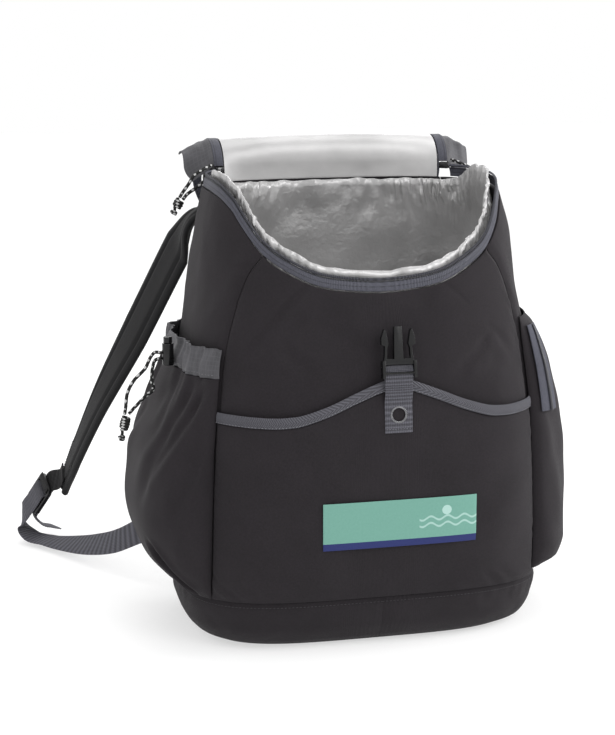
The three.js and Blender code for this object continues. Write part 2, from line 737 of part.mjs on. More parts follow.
const lockWidth = webbingWidth + 7;
const lockLength = 36;
const lockThickness = 4;
const lockBars = { top: 13.5, middleTop: 6.5, middleBottom: 3, lip: -3.5 };
const lockShape = new THREE.Shape([
  [-0.38, -0.5], [0.38, -0.5], [0.5, -0.4], [0.5, 0.42], [0.42, 0.5], [-0.42, 0.5],
  [-0.5, 0.42], [-0.5, -0.4],
].map(([x, y]) => new THREE.Vector2(x * lockWidth, y * lockLength)));
const lockSlot = webbingWidth / 2 + 0.6;
for (const [low, high] of [[lockBars.middleTop, lockBars.top], [lockBars.lip, lockBars.middleBottom]]) {
  lockShape.holes.push(new THREE.Path([
    [-lockSlot, low], [lockSlot, low], [lockSlot, high], [-lockSlot, high],
  ].map(([x, y]) => new THREE.Vector2(x, y))));
}
const lockBody = new THREE.ExtrudeGeometry(lockShape, { depth: lockThickness, bevelEnabled: false })
  .translate(0, 0, -lockThickness / 2)
  .applyMatrix4(new THREE.Matrix4().makeBasis(lockWide, lockDown.clone().negate(), lockOut)
    .setPosition(lockCentre));
addPair('ladder_lock', lockBody, materials.plastic);

// Webbing sewn to the pad's outer face and folded round the lock's top bar
const besideLock = lockThickness / 2 + 1.6 * gap + webbingThickness / 2;
const topFold = -lockBars.top + 1.6 * gap + webbingThickness / 2;
const strapWebbing = () => flatSection(webbingWidth, webbingThickness);
const linkRows = [
  { x: -250.5, y: 254.7, z: 84.2, turn: 84, lean: 33 },
  { x: -253.4, y: 261.3, z: 74.8, turn: 86, lean: 33 },
  atLock(-20, besideLock + 0.2),
  atLock(-15.8, besideLock),
  atLock(topFold - 0.6, besideLock * 0.8),
  atLock(topFold, 0),
  atLock(topFold - 0.6, -besideLock * 0.8),
  atLock(-15.8, -besideLock),
  atLock(-20, -besideLock),
];
addPair('strap_link', sweep(linkRows, linkRows.length - 1, strapWebbing), materials.webbing);

// Webbing from the foot of the bag, lying on the ground, up to the lock, round its middle bar and
// down again as the free tail
const middleFold = -lockBars.middleTop - 1.6 * gap - webbingThickness / 2;
const groundRows = alongBag([
  [-155, 106, 66, 35, 78, 1],
  [-182, 122, 56, 35, 76, 0.8],
  [-208, 152, 36, 35, 66, 0.5],
  [-228, 190, 22, 35, 48, 0.25],
  [-246, 226, 13, 35, 28, 0.1],
  [-266, 258, 8, 40, 8, 0],
  [-284, 281, 8, 55, 5, 0],
  [-292, 291, 18, 75, 12, 0],
]).map((row) => ({ ...row, z: Math.max(row.z, 8) }));
const webbingRows = [
  ...groundRows,
  atLock(26, -besideLock - 0.4),
  atLock(14, -besideLock),
  atLock(0, -besideLock),
  atLock(-4.8, -besideLock),
  atLock(middleFold + 0.6, -besideLock * 0.8),
  atLock(middleFold, 0),
  atLock(middleFold + 0.6, besideLock * 0.8),
  atLock(-4.8, besideLock),
  atLock(0, besideLock),
  atLock(14, besideLock),
  atLock(24, besideLock + 1.5),
  { x: -277, y: 291, z: 24, turn: 105, lean: 15 },
  { x: -268, y: 298, z: 14, turn: 117, lean: 0 },
  { x: -256, y: 304, z: 9, turn: 117, lean: 0 },
];
addPair('strap_webbing', sweep(webbingRows, 3 * (webbingRows.length - 1), strapWebbing),
  materials.webbing);

// Sliders of the main zip, one at each end of the hinge, each with a knotted loop of cord
const slider = { long: 9, wide: 7, high: 6, turn: 40, outside: 5.2, up: 11.2, in: 1.03 };
const sliderPlace = lidPoint(-lidHalfWidth - slider.outside, slider.up, slider.in);
addPair('zip_slider', block(slider.long, slider.wide, slider.high, 0, 0, 0)
  .rotateZ(deg(slider.turn)).translate(sliderPlace.x, sliderPlace.y, sliderPlace.z), materials.plastic);

const cordSection = new THREE.Shape(Array.from({ length: 8 }, (_, i) => (
  new THREE.Vector2(cordDiameter / 2, 0).rotateAround(new THREE.Vector2(), i * Math.PI / 4))));

function cordAlong(points, steps) {
  const path = new THREE.CatmullRomCurve3(points.map((p) => new THREE.Vector3(...p)));
  return new THREE.ExtrudeGeometry(cordSection, { steps, extrudePath: path });
}

// A knot turned about the line between two places, from distances out and shares along
function knotAlong(profile, from, to) {
  const start = new THREE.Vector3(...from);
  const along = new THREE.Vector3(...to).sub(start);
  const geometry = new THREE.LatheGeometry(profile.map(([out, share]) => (
    new THREE.Vector2(out, share * along.length()))), 10);
  const turn = new THREE.Quaternion().setFromUnitVectors(new THREE.Vector3(0, 1, 0),
    along.normalize());
  return geometry.applyQuaternion(turn).translate(...from);
}

const fromSlider = (offsets) => offsets.map((o) => (
  [sliderPlace.x + o[0], sliderPlace.y + o[1], sliderPlace.z + o[2]]));
const pullUpper = fromSlider([[-5.3, -1.8, 5.1], [-9.8, -3.8, 4], [-17.8, -7.3, 0.5], [-24.8, -10.3, -3.5],
  [-30.8, -13.3, -11.5], [-36.8, -16.3, -18.5], [-39.8, -18.3, -22.5]]);
const pullLower = fromSlider([[-7.8, 0.5, -1.5], [-11.3, -3.8, -7], [-22.8, -12.3, -14.5], [-32.8, -16.3, -20.5],
  [-36.8, -17.5, -25]]);
const pullKnot = [[0, 0], [4.2, 0.02], [5.8, 0.14], [5.2, 0.28], [5.5, 0.42], [3.4, 0.56],
  [2.6, 0.7], [3.2, 0.97], [0, 1]];
addPair('pull_cord_upper', cordAlong(pullUpper, 8), materials.cord);
addPair('pull_cord_lower', cordAlong(pullLower, 7), materials.cord);
addPair('pull_knot', knotAlong(pullKnot, ...fromSlider([[-38.9, -18.6, -23.9], [-47.8, -21.9, -38.9]])), materials.cord);

// Drawcord of the left pocket, with its cord lock and knot
const lockRadius = 5.2;
const lockShare = 0.4; // of the way round the pocket
const casingFace = skinPoint(leftAngle(lockShare), drawPocketTop + 12,
  drawSpace(lockShare, drawPocketTop + 12) + pocketWall + 0.7);
const cordLock = {
  x: casingFace.x - 7.94,
  y: casingFace.y - 0.06,
  bottom: drawPocketTop + 2,
  top: drawPocketTop + 22,
  button: drawPocketTop + 28,
};
const fromCordLock = (offsets) => offsets.map((o) => (
  [cordLock.x + o[0], cordLock.y + o[1], cordLock.bottom + o[2]]));
add('cord_lock_barrel', new THREE.CylinderGeometry(lockRadius, lockRadius, cordLock.top - cordLock.bottom, 14)
  .rotateX(Math.PI / 2).translate(cordLock.x, cordLock.y, (cordLock.top + cordLock.bottom) / 2),
materials.plastic);
add('cord_lock_button', new THREE.CylinderGeometry(lockRadius * 0.78, lockRadius * 0.78,
  cordLock.button - cordLock.top - gap, 12).rotateX(Math.PI / 2)
  .translate(cordLock.x, cordLock.y, (cordLock.button + cordLock.top + gap) / 2), materials.plastic);
const drawUpper = fromCordLock([[-5.6, 0.4, 11], [-11.5, 2, 11.5], [-15.5, 3, 7], [-20.5, 3, -3],
  [-31.5, 2, -14], [-37.5, 1, -25], [-39.5, 0, -38], [-40.5, 0, -44]]);
const drawLower = fromCordLock([[-6, 0.6, 6], [-11, 4, 4], [-13.5, 6, -4], [-14.5, 5, -15],
  [-13.5, 4, -23], [-21.5, 3, -29.5], [-30.5, 2, -38], [-36.6, 1, -44.1]]);
const drawKnot = [[0, 0], [4, 0.02], [5.4, 0.1], [4.4, 0.19], [5.6, 0.29], [4.4, 0.39], [5.2, 0.5],
  [3, 0.6], [4.6, 0.73], [4.6, 0.88], [0, 1]];
add('drawcord_upper', cordAlong(drawUpper, 12), materials.cord);
add('drawcord_lower', cordAlong(drawLower, 12), materials.cord);
add('drawcord_knot', knotAlong(drawKnot, ...fromCordLock([[-38.5, 0.5, -45.2], [-45, -1, -69]])), materials.cord);

// Hidden under the lid: its webbing and the plain socket that takes the plug
const lidUnder = -liningWall - gap - lidSkin - gap - webbingThickness / 2;
const lidStrapRow = (s, h) => {
  const p = lidPoint(0, s, h);
  return { x: 0, y: p.y, z: p.z, turn: 0 };
};
const lidStrapRows = [lidStrapRow(lidLength - 45, lidUnder), lidStrapRow(lidLength, lidUnder),
  lidStrapRow(lidLength + 24, lidUnder)];
add('lid_webbing', sweep(lidStrapRows, 6, strapWebbing), materials.webbing);
const socketSize = { width: 31, height: 30, depth: 11 };
const socketAt = lidPoint(0, lidLength + 24 + gap + socketSize.height / 2, lidUnder);
add('buckle_socket', new THREE.BoxGeometry(socketSize.width, socketSize.depth, socketSize.height),
  materials.plastic, (mesh) => {
    mesh.position.copy(socketAt);
    mesh.rotation.x = deg(180 - foldTurn);
  });

export default backpack;
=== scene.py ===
import bpy
import bmesh
import math
from mathutils import Matrix, Vector, noise


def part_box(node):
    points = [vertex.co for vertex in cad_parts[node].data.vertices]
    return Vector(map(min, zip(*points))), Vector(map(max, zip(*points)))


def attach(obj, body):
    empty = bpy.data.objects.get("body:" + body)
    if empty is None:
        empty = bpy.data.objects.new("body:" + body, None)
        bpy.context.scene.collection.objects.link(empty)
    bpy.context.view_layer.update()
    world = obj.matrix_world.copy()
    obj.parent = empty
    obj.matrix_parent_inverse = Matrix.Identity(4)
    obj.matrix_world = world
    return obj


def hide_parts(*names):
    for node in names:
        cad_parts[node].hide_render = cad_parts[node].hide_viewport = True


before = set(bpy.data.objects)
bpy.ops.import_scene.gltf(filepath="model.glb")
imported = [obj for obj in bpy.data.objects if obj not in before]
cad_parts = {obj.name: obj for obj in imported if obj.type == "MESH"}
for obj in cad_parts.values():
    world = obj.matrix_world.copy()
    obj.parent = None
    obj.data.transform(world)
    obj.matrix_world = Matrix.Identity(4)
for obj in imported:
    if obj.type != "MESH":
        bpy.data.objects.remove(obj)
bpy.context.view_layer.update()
mm = 0.001
print("frame loaded")

# Camera, floor and light
studio = {
    "lookAt": (-0.040, 0.020, 0.235),
    "azimuth": -13.5,
    "elevation": 12.0,
    "distance": 1.650,
    "lens": 85.71,
    "floorTone": 0.45,
    "floorGlow": 0.55,
    "worldTone": 1.0,
    "worldStrength": 1.0,
}


def makeCamera(spec):
    turn = math.radians(spec["azimuth"])
    rise = math.radians(spec["elevation"])
    back = Vector((math.sin(turn) * math.cos(rise), -math.cos(turn) * math.cos(rise), math.sin(rise)))
    bpy.ops.object.camera_add(location=Vector(spec["lookAt"]) + back * spec["distance"])
    camera = bpy.context.object
    camera.rotation_mode = "QUATERNION"
    camera.rotation_quaternion = (-back).to_track_quat("-Z", "Y")
    camera.data.sensor_width = 36
    camera.data.lens = spec["lens"]
    bpy.context.scene.camera = camera


def areaLight(name, place, aim, size, power, tone=(1, 1, 1)):
    bpy.ops.object.light_add(type="AREA", location=place)
    lamp = bpy.context.object
    lamp.name = name
    lamp.data.size = size
    lamp.data.energy = power
    lamp.data.color = tone
    toward = Vector(aim) - Vector(place)
    lamp.rotation_mode = "QUATERNION"
    lamp.rotation_quaternion = toward.to_track_quat("-Z", "Y")


makeCamera(studio)
areaLight("key light", (0.7, -1.3, 1.5), (0, 0, 0.2), 0.9, 8)
areaLight("right light", (1.8, -0.2, 0.7), (0, 0, 0.2), 0.8, 24)
areaLight("left light", (-1.5, -0.7, 0.9), (0, 0, 0.2), 0.8, 1.5)
areaLight("top light", (-0.1, 0.3, 1.9), (0, 0, 0.2), 1.2, 9)
areaLight("back light", (0.3, 1.7, 1.2), (0, 0, 0.2), 1.0, 7)

world = bpy.data.worlds.new("studio")
world.use_nodes = True
sky = world.node_tree.nodes["Background"]
sky.inputs["Color"].default_value = (studio["worldTone"], studio["worldTone"], studio["worldTone"], 1)
sky.inputs["Strength"].default_value = studio["worldStrength"]
bpy.context.scene.world = world
bpy.context.scene.view_settings.view_transform = "Standard"


# Materials
def newMaterial(name, base, roughness, metallic=0.0, sheen=0.0, specular=0.5):
    material = bpy.data.materials.new(name)
    material.use_nodes = True
    shader = material.node_tree.nodes["Principled BSDF"]
    shader.inputs["Base Color"].default_value = (*base, 1)
    shader.inputs["Roughness"].default_value = roughness
    shader.inputs["Metallic"].default_value = metallic
    shader.inputs["Sheen Weight"].default_value = sheen
    shader.inputs["Specular IOR Level"].default_value = specular
    return material


class Net:  # short ways to add and join a material's nodes
    def __init__(self, material):
        self.tree = material.node_tree
        self.shader = self.tree.nodes["Principled BSDF"]
        self.coord = self.tree.nodes.new("ShaderNodeTexCoord")

    def link(self, source, socket):
        self.tree.links.new(source, socket)

    def scaled(self, kind, scale):
        node = self.tree.nodes.new("ShaderNodeMapping")
        node.inputs["Scale"].default_value = scale
        self.link(self.coord.outputs[kind], node.inputs["Vector"])
        return node.outputs["Vector"]

    def noise(self, place, scale, detail=2.0):
        node = self.tree.nodes.new("ShaderNodeTexNoise")
        node.inputs["Scale"].default_value = scale
        node.inputs["Detail"].default_value = detail
        self.link(place, node.inputs["Vector"])
        return node.outputs["Fac"]

    def bands(self, place, scale, direction, distortion=0.0):
        node = self.tree.nodes.new("ShaderNodeTexWave")
        node.bands_direction = direction
        node.inputs["Scale"].default_value = scale
        node.inputs["Distortion"].default_value = distortion
        self.link(place, node.inputs["Vector"])
        return node.outputs["Fac"]

    def math(self, operation, first, second=0.5, third=None):
        node = self.tree.nodes.new("ShaderNodeMath")
        node.operation = operation
        for socket, value in zip(node.inputs, (first, second, third)):
            if isinstance(value, bpy.types.NodeSocket):
                self.link(value, socket)
            elif value is not None:
                socket.default_value = value
        return node.outputs["Value"]

    def split(self, place):
        node = self.tree.nodes.new("ShaderNodeSeparateXYZ")
        self.link(place, node.inputs["Vector"])
        return node.outputs

    def ramp(self, value, stops):
        node = self.tree.nodes.new("ShaderNodeValToRGB")
        elements = node.color_ramp.elements
        while len(elements) < len(stops):
            elements.new(0.5)
        for element, (at, tone) in zip(elements, stops):
            element.position = at
            element.color = (*tone, 1)
        self.link(value, node.inputs["Fac"])
        return node.outputs["Color"]

    def mix(self, share, first, second):
        node = self.tree.nodes.new("ShaderNodeMix")
        node.data_type = "RGBA"
        for name, value in (("Factor", share), ("A", first), ("B", second)):
            socket = [s for s in node.inputs if s.name == name and s.enabled][0]
            if isinstance(value, bpy.types.NodeSocket):
                self.link(value, socket)
            elif name == "Factor":
                socket.default_value = value
            else:
                socket.default_value = (*value, 1)
        return [s for s in node.outputs if s.enabled][0]

    def colour(self, value):
        self.link(value, self.shader.inputs["Base Color"])

    def roughness(self, value):
        self.link(value, self.shader.inputs["Roughness"])

    def bump(self, height, strength, distance):
        node = self.tree.nodes.new("ShaderNodeBump")
        node.inputs["Strength"].default_value = strength
        node.inputs["Distance"].default_value = distance
        self.link(height, node.inputs["Height"])
        self.link(node.outputs["Normal"], self.shader.inputs["Normal"])


def tint(base, share):
    return tuple(c * share for c in base)


def clothMaterial(name, base, thread, size, mottle=0.22, roughness=0.82, sheen=0.03):
    # A plain weave on the piece's own map, with slightly uneven yarn
    material = newMaterial(name, base, roughness, sheen=sheen, specular=0.2)
    net = Net(material)
    across, up = size[0] / thread, size[1] / thread
    place = net.scaled("UV", (across, up, 1))
    weave = net.math("MULTIPLY", net.bands(place, 0.5, "X"), net.bands(place, 0.5, "Y"))
    grain = net.noise(net.scaled("Object", (1, 1, 1)), 620, 3)
    patches = net.noise(net.scaled("Object", (1, 1, 1)), 26, 3)
    level = net.math("ADD", net.math("MULTIPLY", grain, 0.6), net.math("MULTIPLY", patches, 0.4))
    net.colour(net.ramp(level, [(0.3, tint(base, 1 - mottle)), (0.7, tint(base, 1 + mottle))]))
    net.bump(net.math("ADD", weave, net.math("MULTIPLY", grain, 0.8)), 0.5, 0.00025)
    return material


def ripstopMaterial(name, base, cell, size):
    material = newMaterial(name, base, 0.6, sheen=0.03, specular=0.3)
    net = Net(material)
    place = net.split(net.scaled("UV", (size[0] / cell, size[1] / cell, 1)))
    lines = [net.math("GREATER_THAN", net.math("FRACT", place[axis]), 0.84) for axis in ("X", "Y")]
    grid = net.math("MAXIMUM", lines[0], lines[1])
    cloudy = net.noise(net.scaled("Object", (1, 1, 1)), 60, 3)
    ground = net.ramp(cloudy, [(0.3, tint(base, 0.8)), (0.7, tint(base, 1.25))])
    net.colour(net.mix(net.math("MULTIPLY", grid, 0.3), ground, tint(base, 1.7)))
    net.bump(net.math("ADD", grid, net.noise(net.scaled("Object", (1, 1, 1)), 900, 2)), 0.35, 0.0002)
    return material


def webbingMaterial(name, base, rib, size):
    # Ribs run across the strap: X is its width and Y its length on the piece's map
    material = newMaterial(name, base, 0.72, sheen=0.03, specular=0.2)
    net = Net(material)
    place = net.split(net.scaled("UV", (size[0] / 0.0016, size[1] / rib, 1)))
    ribs = net.math("SINE", net.math("MULTIPLY", place["Y"], 2 * math.pi))
    cords = net.math("SINE", net.math("MULTIPLY", place["X"], 2 * math.pi))
    relief = net.math("ADD", ribs, net.math("MULTIPLY", cords, 0.45))
    yarn = net.noise(net.scaled("Object", (1, 1, 1)), 700, 2)
    level = net.math("ADD", net.math("MULTIPLY_ADD", relief, 0.24, 0.5), net.math("MULTIPLY_ADD", yarn, 0.3, -0.15))
    # Colour follows the rib relief: painted shade in the grooves and painted highlight on the crests, over the real
    # uneven yarn
    net.colour(net.ramp(level, [(0.1, tint(base, 0.42)), (0.55, base), (0.95, tint(base, 1.5))]))
    net.bump(relief, 0.8, 0.0005)
    return material


def herringboneMaterial(name, base, rib, size):
    material = newMaterial(name, base, 0.75, sheen=0.03, specular=0.2)
    net = Net(material)
    place = net.split(net.coord.outputs["UV"])
    along = net.math("MULTIPLY", place["X"], size[0] / rib)
    side = net.math("MULTIPLY", net.math("ABSOLUTE", net.math("SUBTRACT", place["Y"], 0.5)), size[1] / rib)
    stripe = net.math("SINE", net.math("MULTIPLY", net.math("ADD", along, side), 2 * math.pi))
    yarn = net.noise(net.scaled("Object", (1, 1, 1)), 700, 2)
    level = net.math("ADD", net.math("MULTIPLY_ADD", stripe, 0.26, 0.5), net.math("MULTIPLY_ADD", yarn, 0.3, -0.15))
    # Colour follows the twill stripes of the bump: painted shade in their hollows and painted highlight on their
    # ridges, over the real uneven yarn
    net.colour(net.ramp(level, [(0.1, tint(base, 0.5)), (0.55, base), (0.95, tint(base, 1.4))]))
    net.bump(stripe, 0.8, 0.0005)
    return material


def zipMaterial(name, base, size, tooth, stripes):
    # stripes are (low, high, tone) shares of the width of the band that are darker, as the coil is
    material = newMaterial(name, base, 0.6, sheen=0.03, specular=0.25)
    net = Net(material)
    place = net.split(net.coord.outputs["UV"])
    colour = net.ramp(net.noise(net.scaled("Object", (1, 1, 1)), 800, 2), [(0.3, tint(base, 0.8)), (0.7, tint(base, 1.2))])
    teeth = net.math("SINE", net.math("MULTIPLY", place["X"], 2 * math.pi * size[0] / tooth))
    for low, high, tone in stripes:
        inside = net.math("MULTIPLY", net.math("GREATER_THAN", place["Y"], low), net.math("LESS_THAN", place["Y"], high))
        # Inside each stripe: the coil's own darker tone, with painted shade between the teeth and a painted highlight
        # on each tooth
        coilToneAndPaintedToothLight = net.ramp(net.math("MULTIPLY_ADD", teeth, 0.5, 0.5), [(0.2, tint(base, tone)), (0.9, tint(base, tone * 2.2))])
        colour = net.mix(inside, colour, coilToneAndPaintedToothLight)
    net.colour(colour)
    net.bump(teeth, 0.5, 0.0003)
    return material


def plasticMaterial(name, base, roughness):
    material = newMaterial(name, base, roughness, specular=0.35)
    net = Net(material)
    place = net.scaled("Object", (1, 1, 1))
    wear = net.noise(place, 90, 4)
    net.colour(net.ramp(wear, [(0.35, tint(base, 0.85)), (0.7, tint(base, 1.3))]))
    net.roughness(net.math("MULTIPLY_ADD", net.noise(place, 260, 3), 0.16, roughness - 0.08))
    net.bump(net.noise(place, 1500, 2), 0.12, 0.0002)
    return material


def metalMaterial(name, base, roughness):
    material = newMaterial(name, base, roughness, metallic=1.0)
    net = Net(material)
    place = net.scaled("Object", (1, 1, 1))
    net.colour(net.ramp(net.noise(place, 300, 3), [(0.35, tint(base, 0.75)), (0.7, tint(base, 1.2))]))
    net.roughness(net.math("MULTIPLY_ADD", net.noise(place, 500, 3), 0.2, roughness - 0.1))
    net.bump(net.noise(place, 900, 2), 0.1, 0.0002)
    return material


def liningMaterial(name, base, roughness, creases):
    material = newMaterial(name, base, roughness, metallic=0.35)
    net = Net(material)
    place = net.scaled("Object", (1, 1, 1))
    haze = net.noise(place, 16, 4)
    net.colour(net.ramp(haze, [(0.3, tint(base, 0.82)), (0.7, tint(base, 1.12))]))
    fine = net.noise(place, 210, 4)
    net.bump(net.math("ADD", net.math("MULTIPLY", haze, 1.0), net.math("MULTIPLY", fine, 0.35)), creases, 0.002)
    return material


def cordMaterial(name, base, fleck, length):
    # A round woven cord with pale flecks wound round it
    material = newMaterial(name, base, 0.7, sheen=0.02, specular=0.3)
    net = Net(material)
    place = net.split(net.coord.outputs["UV"])
    along = net.math("MULTIPLY", place["Y"], length / 0.0065)
    turned = net.math("ADD", along, place["X"])
    spot = net.math("MULTIPLY", net.math("GREATER_THAN", net.math("FRACT", turned), 0.6),
                    net.math("GREATER_THAN", net.math("FRACT", net.math("MULTIPLY_ADD", along, -1.0, net.math("MULTIPLY", place["X"], 2.0))), 0.5))
    strands = net.math("SINE", net.math("MULTIPLY", net.math("ADD", net.math("MULTIPLY", along, 6.0), net.math("MULTIPLY", place["X"], 6.0)), 2 * math.pi))
    net.colour(net.mix(spot, base, fleck))
    net.bump(strands, 0.5, 0.0003)
    return material


def patchMaterial(name, size):
    # A plain harbour pattern: a navy band below, two rows of low waves and a round sun
    material = newMaterial(name, (0.12, 0.34, 0.27), 0.55, specular=0.3)
    net = Net(material)
    place = net.split(net.coord.outputs["UV"])
    x, y = place["X"], place["Y"]

    def waveRow(height, swing, count, width):
        crest = net.math("MULTIPLY_ADD", net.math("SINE", net.math("MULTIPLY", x, 2 * math.pi * count)), swing, height)
        return net.math("LESS_THAN", net.math("ABSOLUTE", net.math("SUBTRACT", y, crest)), width)

    colour = net.mix(net.noise(net.scaled("Object", (1, 1, 1)), 500, 2), (0.13, 0.30, 0.245), (0.155, 0.34, 0.28))
    far = net.math("GREATER_THAN", x, 0.62)
    for row in (waveRow(0.56, 0.04, 9, 0.022), waveRow(0.42, 0.04, 9, 0.022)):
        colour = net.mix(net.math("MULTIPLY", net.math("MULTIPLY", row, far), 0.8), colour, (0.36, 0.55, 0.50))
    sunX = net.math("MULTIPLY", net.math("SUBTRACT", x, 0.8), size[0] / size[1])
    sun = net.math("SQRT", net.math("ADD", net.math("MULTIPLY", sunX, sunX),
                                    net.math("POWER", net.math("ABSOLUTE", net.math("SUBTRACT", y, 0.72)), 2.0)))
    colour = net.mix(net.math("LESS_THAN", sun, 0.1), colour, (0.36, 0.55, 0.50))
    colour = net.mix(net.math("LESS_THAN", y, 0.15), colour, (0.014, 0.022, 0.115))
    net.colour(colour)
    net.bump(net.noise(net.scaled("Object", (1, 1, 1)), 1300, 2), 0.3, 0.0002)
    return material


tones = {
    "polyester": (0.0165, 0.0138, 0.0163),
    "strap": (0.0095, 0.0092, 0.010),
    "ripstop": (0.060, 0.059, 0.065),
    "zipTape": (0.062, 0.063, 0.080),
    "webbing": (0.082, 0.081, 0.096),
    "binding": (0.088, 0.087, 0.101),
    "lining": (0.47, 0.465, 0.465),
    "plastic": (0.0045, 0.0045, 0.005),
    "cord": (0.009, 0.009, 0.009),
    "metal": (0.20, 0.20, 0.21),
}

# The floor is a wide pale sheet
bpy.ops.mesh.primitive_plane_add(size=12)
floor = bpy.context.object
floor.name = "floor"
floorMaterial = newMaterial("floor", (studio["floorTone"],) * 3, 0.9)
floorGlow = floorMaterial.node_tree.nodes["Principled BSDF"]
floorGlow.inputs["Emission Color"].default_value = (1, 1, 1, 1)
floorGlow.inputs["Emission Strength"].default_value = studio["floorGlow"]
floor.data.materials.append(floorMaterial)
print("camera, floor and light")

# The body's plan at a few heights, as in the solids: shares of the rim's height and of the base
body = {
    "baseWidth": 340,
    "frontDepth": 127,
    "backDepth": 88,
    "widestLine": 20,
    "rimHeight": 405,
    "frontDip": 82,
    "bootHeight": 48,
    "skin": 4.5,
    "liningWall": 1.2,
    "liningInset": 5.8,
    "hingeAngle": 48,
    "seamDepth": 1.5,
    "seamWidth": 4.0,
    "backSeamAngle": 44,
}
sectionColumns = {"width": 1, "front": 2, "back": 3, "square": 4}
bodySections = [
    (0, 0.87, 0.8, 0.8, 3.8),
    (0.02, 0.945, 0.9, 0.9, 3.8),
    (0.055, 0.988, 0.965, 0.965, 3.8),
    (0.123, 1, 1, 1, 3.8),
    (0.27, 0.995, 1.035, 1, 3.7),
    (0.49, 0.97, 1.025, 1, 3.6),
    (0.665, 0.925, 0.96, 1, 3.5),
    (0.795, 0.885, 0.885, 0.99, 3.4),
    (0.915, 0.84, 0.8, 0.97, 3.3),
    (1, 0.795, 0.71, 0.94, 3.2),
    (1.06, 0.77, 0.67, 0.92, 3.2),
]
rimDips = [(0, 1), (10, 0.93), (21, 0.79), (33, 0.615), (48, 0.33), (60, 0.135), (75, 0.03), (90, 0), (180, 0)]
frontSeam = [(0, 53), (0.66, 53), (0.86, 47), (0.95, 41), (1, 35)]


def readTable(table, at, column=1):
    # A smooth curve through the rows, flat beyond both ends
    if at <= table[0][0]:
        return table[0][column]
    if at >= table[-1][0]:
        return table[-1][column]
    i = next(k for k in range(1, len(table)) if at <= table[k][0])
    low, high = table[i - 1], table[i]
    step = high[0] - low[0]

    def slope(k):
        if k in (0, len(table) - 1):
            return 0 if k else (table[1][column] - table[0][column]) / (table[1][0] - table[0][0])
        before = (table[k][column] - table[k - 1][column]) / (table[k][0] - table[k - 1][0])
        after = (table[k + 1][column] - table[k][column]) / (table[k + 1][0] - table[k][0])
        return 0 if before * after <= 0 else 2 * before * after / (before + after)

    t = (at - low[0]) / step
    h00 = 2 * t ** 3 - 3 * t ** 2 + 1
    h10 = t ** 3 - 2 * t ** 2 + t
    h01 = -2 * t ** 3 + 3 * t ** 2
    h11 = t ** 3 - t ** 2
    return h00 * low[column] + h10 * step * slope(i - 1) + h01 * high[column] + h11 * step * slope(i)


def section(column, z):
    return readTable(bodySections, z / body["rimHeight"], sectionColumns[column])


def blendStep(low, high, at):
    t = min(1, max(0, (at - low) / (high - low)))
    return t * t * (3 - 2 * t)


def mixed(low, high, share):
    return low + (high - low) * share


def skinPoint(angle, z, offset=0.0):
    c, s = math.cos(math.radians(angle)), math.sin(math.radians(angle))
    power = 2 / section("square", z)
    depth = body["backDepth"] * section("back", z) if s > 0 else body["frontDepth"] * section("front", z)
    return Vector((
        (body["baseWidth"] / 2 * section("width", z) + offset) * math.copysign(abs(c) ** power, c),
        body["widestLine"] + (depth + offset) * math.copysign(abs(s) ** power, s),
        z,
    ))


def frontAngle(x, z):
    share = min(1, abs(x) / (body["baseWidth"] / 2 * section("width", z)))
    turn = 90 - math.degrees(math.acos(share ** (section("square", z) / 2)))
    return -90 + math.copysign(turn, x)


def roundFromFront(angle):
    turned = (angle + 90) % 360
    return min(turned, 360 - turned)


def rimZ(angle):
    return body["rimHeight"] - body["frontDip"] * readTable(rimDips, roundFromFront(angle))


def dent(place, scale, amount, seed=0):
    return amount * noise.noise(Vector(place) * scale + Vector((seed, seed * 0.7, -seed)))


def crinkle(place, scale, amount, seed=0):
    # Sharp ridges between soft hollows, as in crumpled foil
    ridge = 1 - 2.4 * abs(noise.noise(Vector(place) * scale + Vector((seed, seed * 0.7, -seed))))
    return amount * ridge


def finishPiece(piece, replaced, material=None):
    if material:
        piece.data.materials.clear()
        piece.data.materials.append(material)
    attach(piece, "root")
    if replaced:
        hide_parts(*replaced)
    return piece


def applyModifier(piece, kind, **settings):
    bpy.ops.object.select_all(action="DESELECT")
    bpy.context.view_layer.objects.active = piece
    piece.select_set(True)
    modifier = piece.modifiers.new(kind.lower(), kind)
    for key, value in settings.items():
        setattr(modifier, key, value)
    bpy.ops.object.modifier_apply(modifier=modifier.name)


def clothSheet(name, across, up, place, thickness, ring=False, edge=0.35, smooth=True):
    # A grid laid over a surface given in mm by shares across and up, with its cloth turned inwards
    bpy.ops.object.select_all(action="DESELECT")
    bpy.ops.mesh.primitive_grid_add(x_subdivisions=across, y_subdivisions=up, size=1)
    piece = bpy.context.object
    piece.name = name
    for vertex in piece.data.vertices:
        vertex.co = Vector(place(vertex.co.x + 0.5, vertex.co.y + 0.5)) * mm
    mesh = bmesh.new()
    mesh.from_mesh(piece.data)
    if ring:
        bmesh.ops.remove_doubles(mesh, verts=mesh.verts, dist=0.00002)
    mesh.to_mesh(piece.data)
    mesh.free()
    if thickness:
        applyModifier(piece, "SOLIDIFY", thickness=thickness * mm, offset=-1)
        if edge:
            applyModifier(piece, "BEVEL", width=edge * mm, segments=2, limit_method="ANGLE", angle_limit=1.0)
    bpy.ops.object.shade_smooth_by_angle(angle=math.radians(50))
    return piece


def edgeDip(distance, depth=None, width=None, along=0.0):
    # The cloth dips into a seam, and puckers a little just beside it
    depth = body["seamDepth"] if depth is None else depth
    width = body["seamWidth"] if width is None else width
    pucker = noise.noise(Vector((along * 0.11, 5, 0))) + 0.5 * noise.noise(Vector((along * 0.3, 9, 0)))
    return -depth * math.exp(-(distance / width) ** 2) + 0.9 * pucker * math.exp(-((distance - 8) / 8) ** 2)


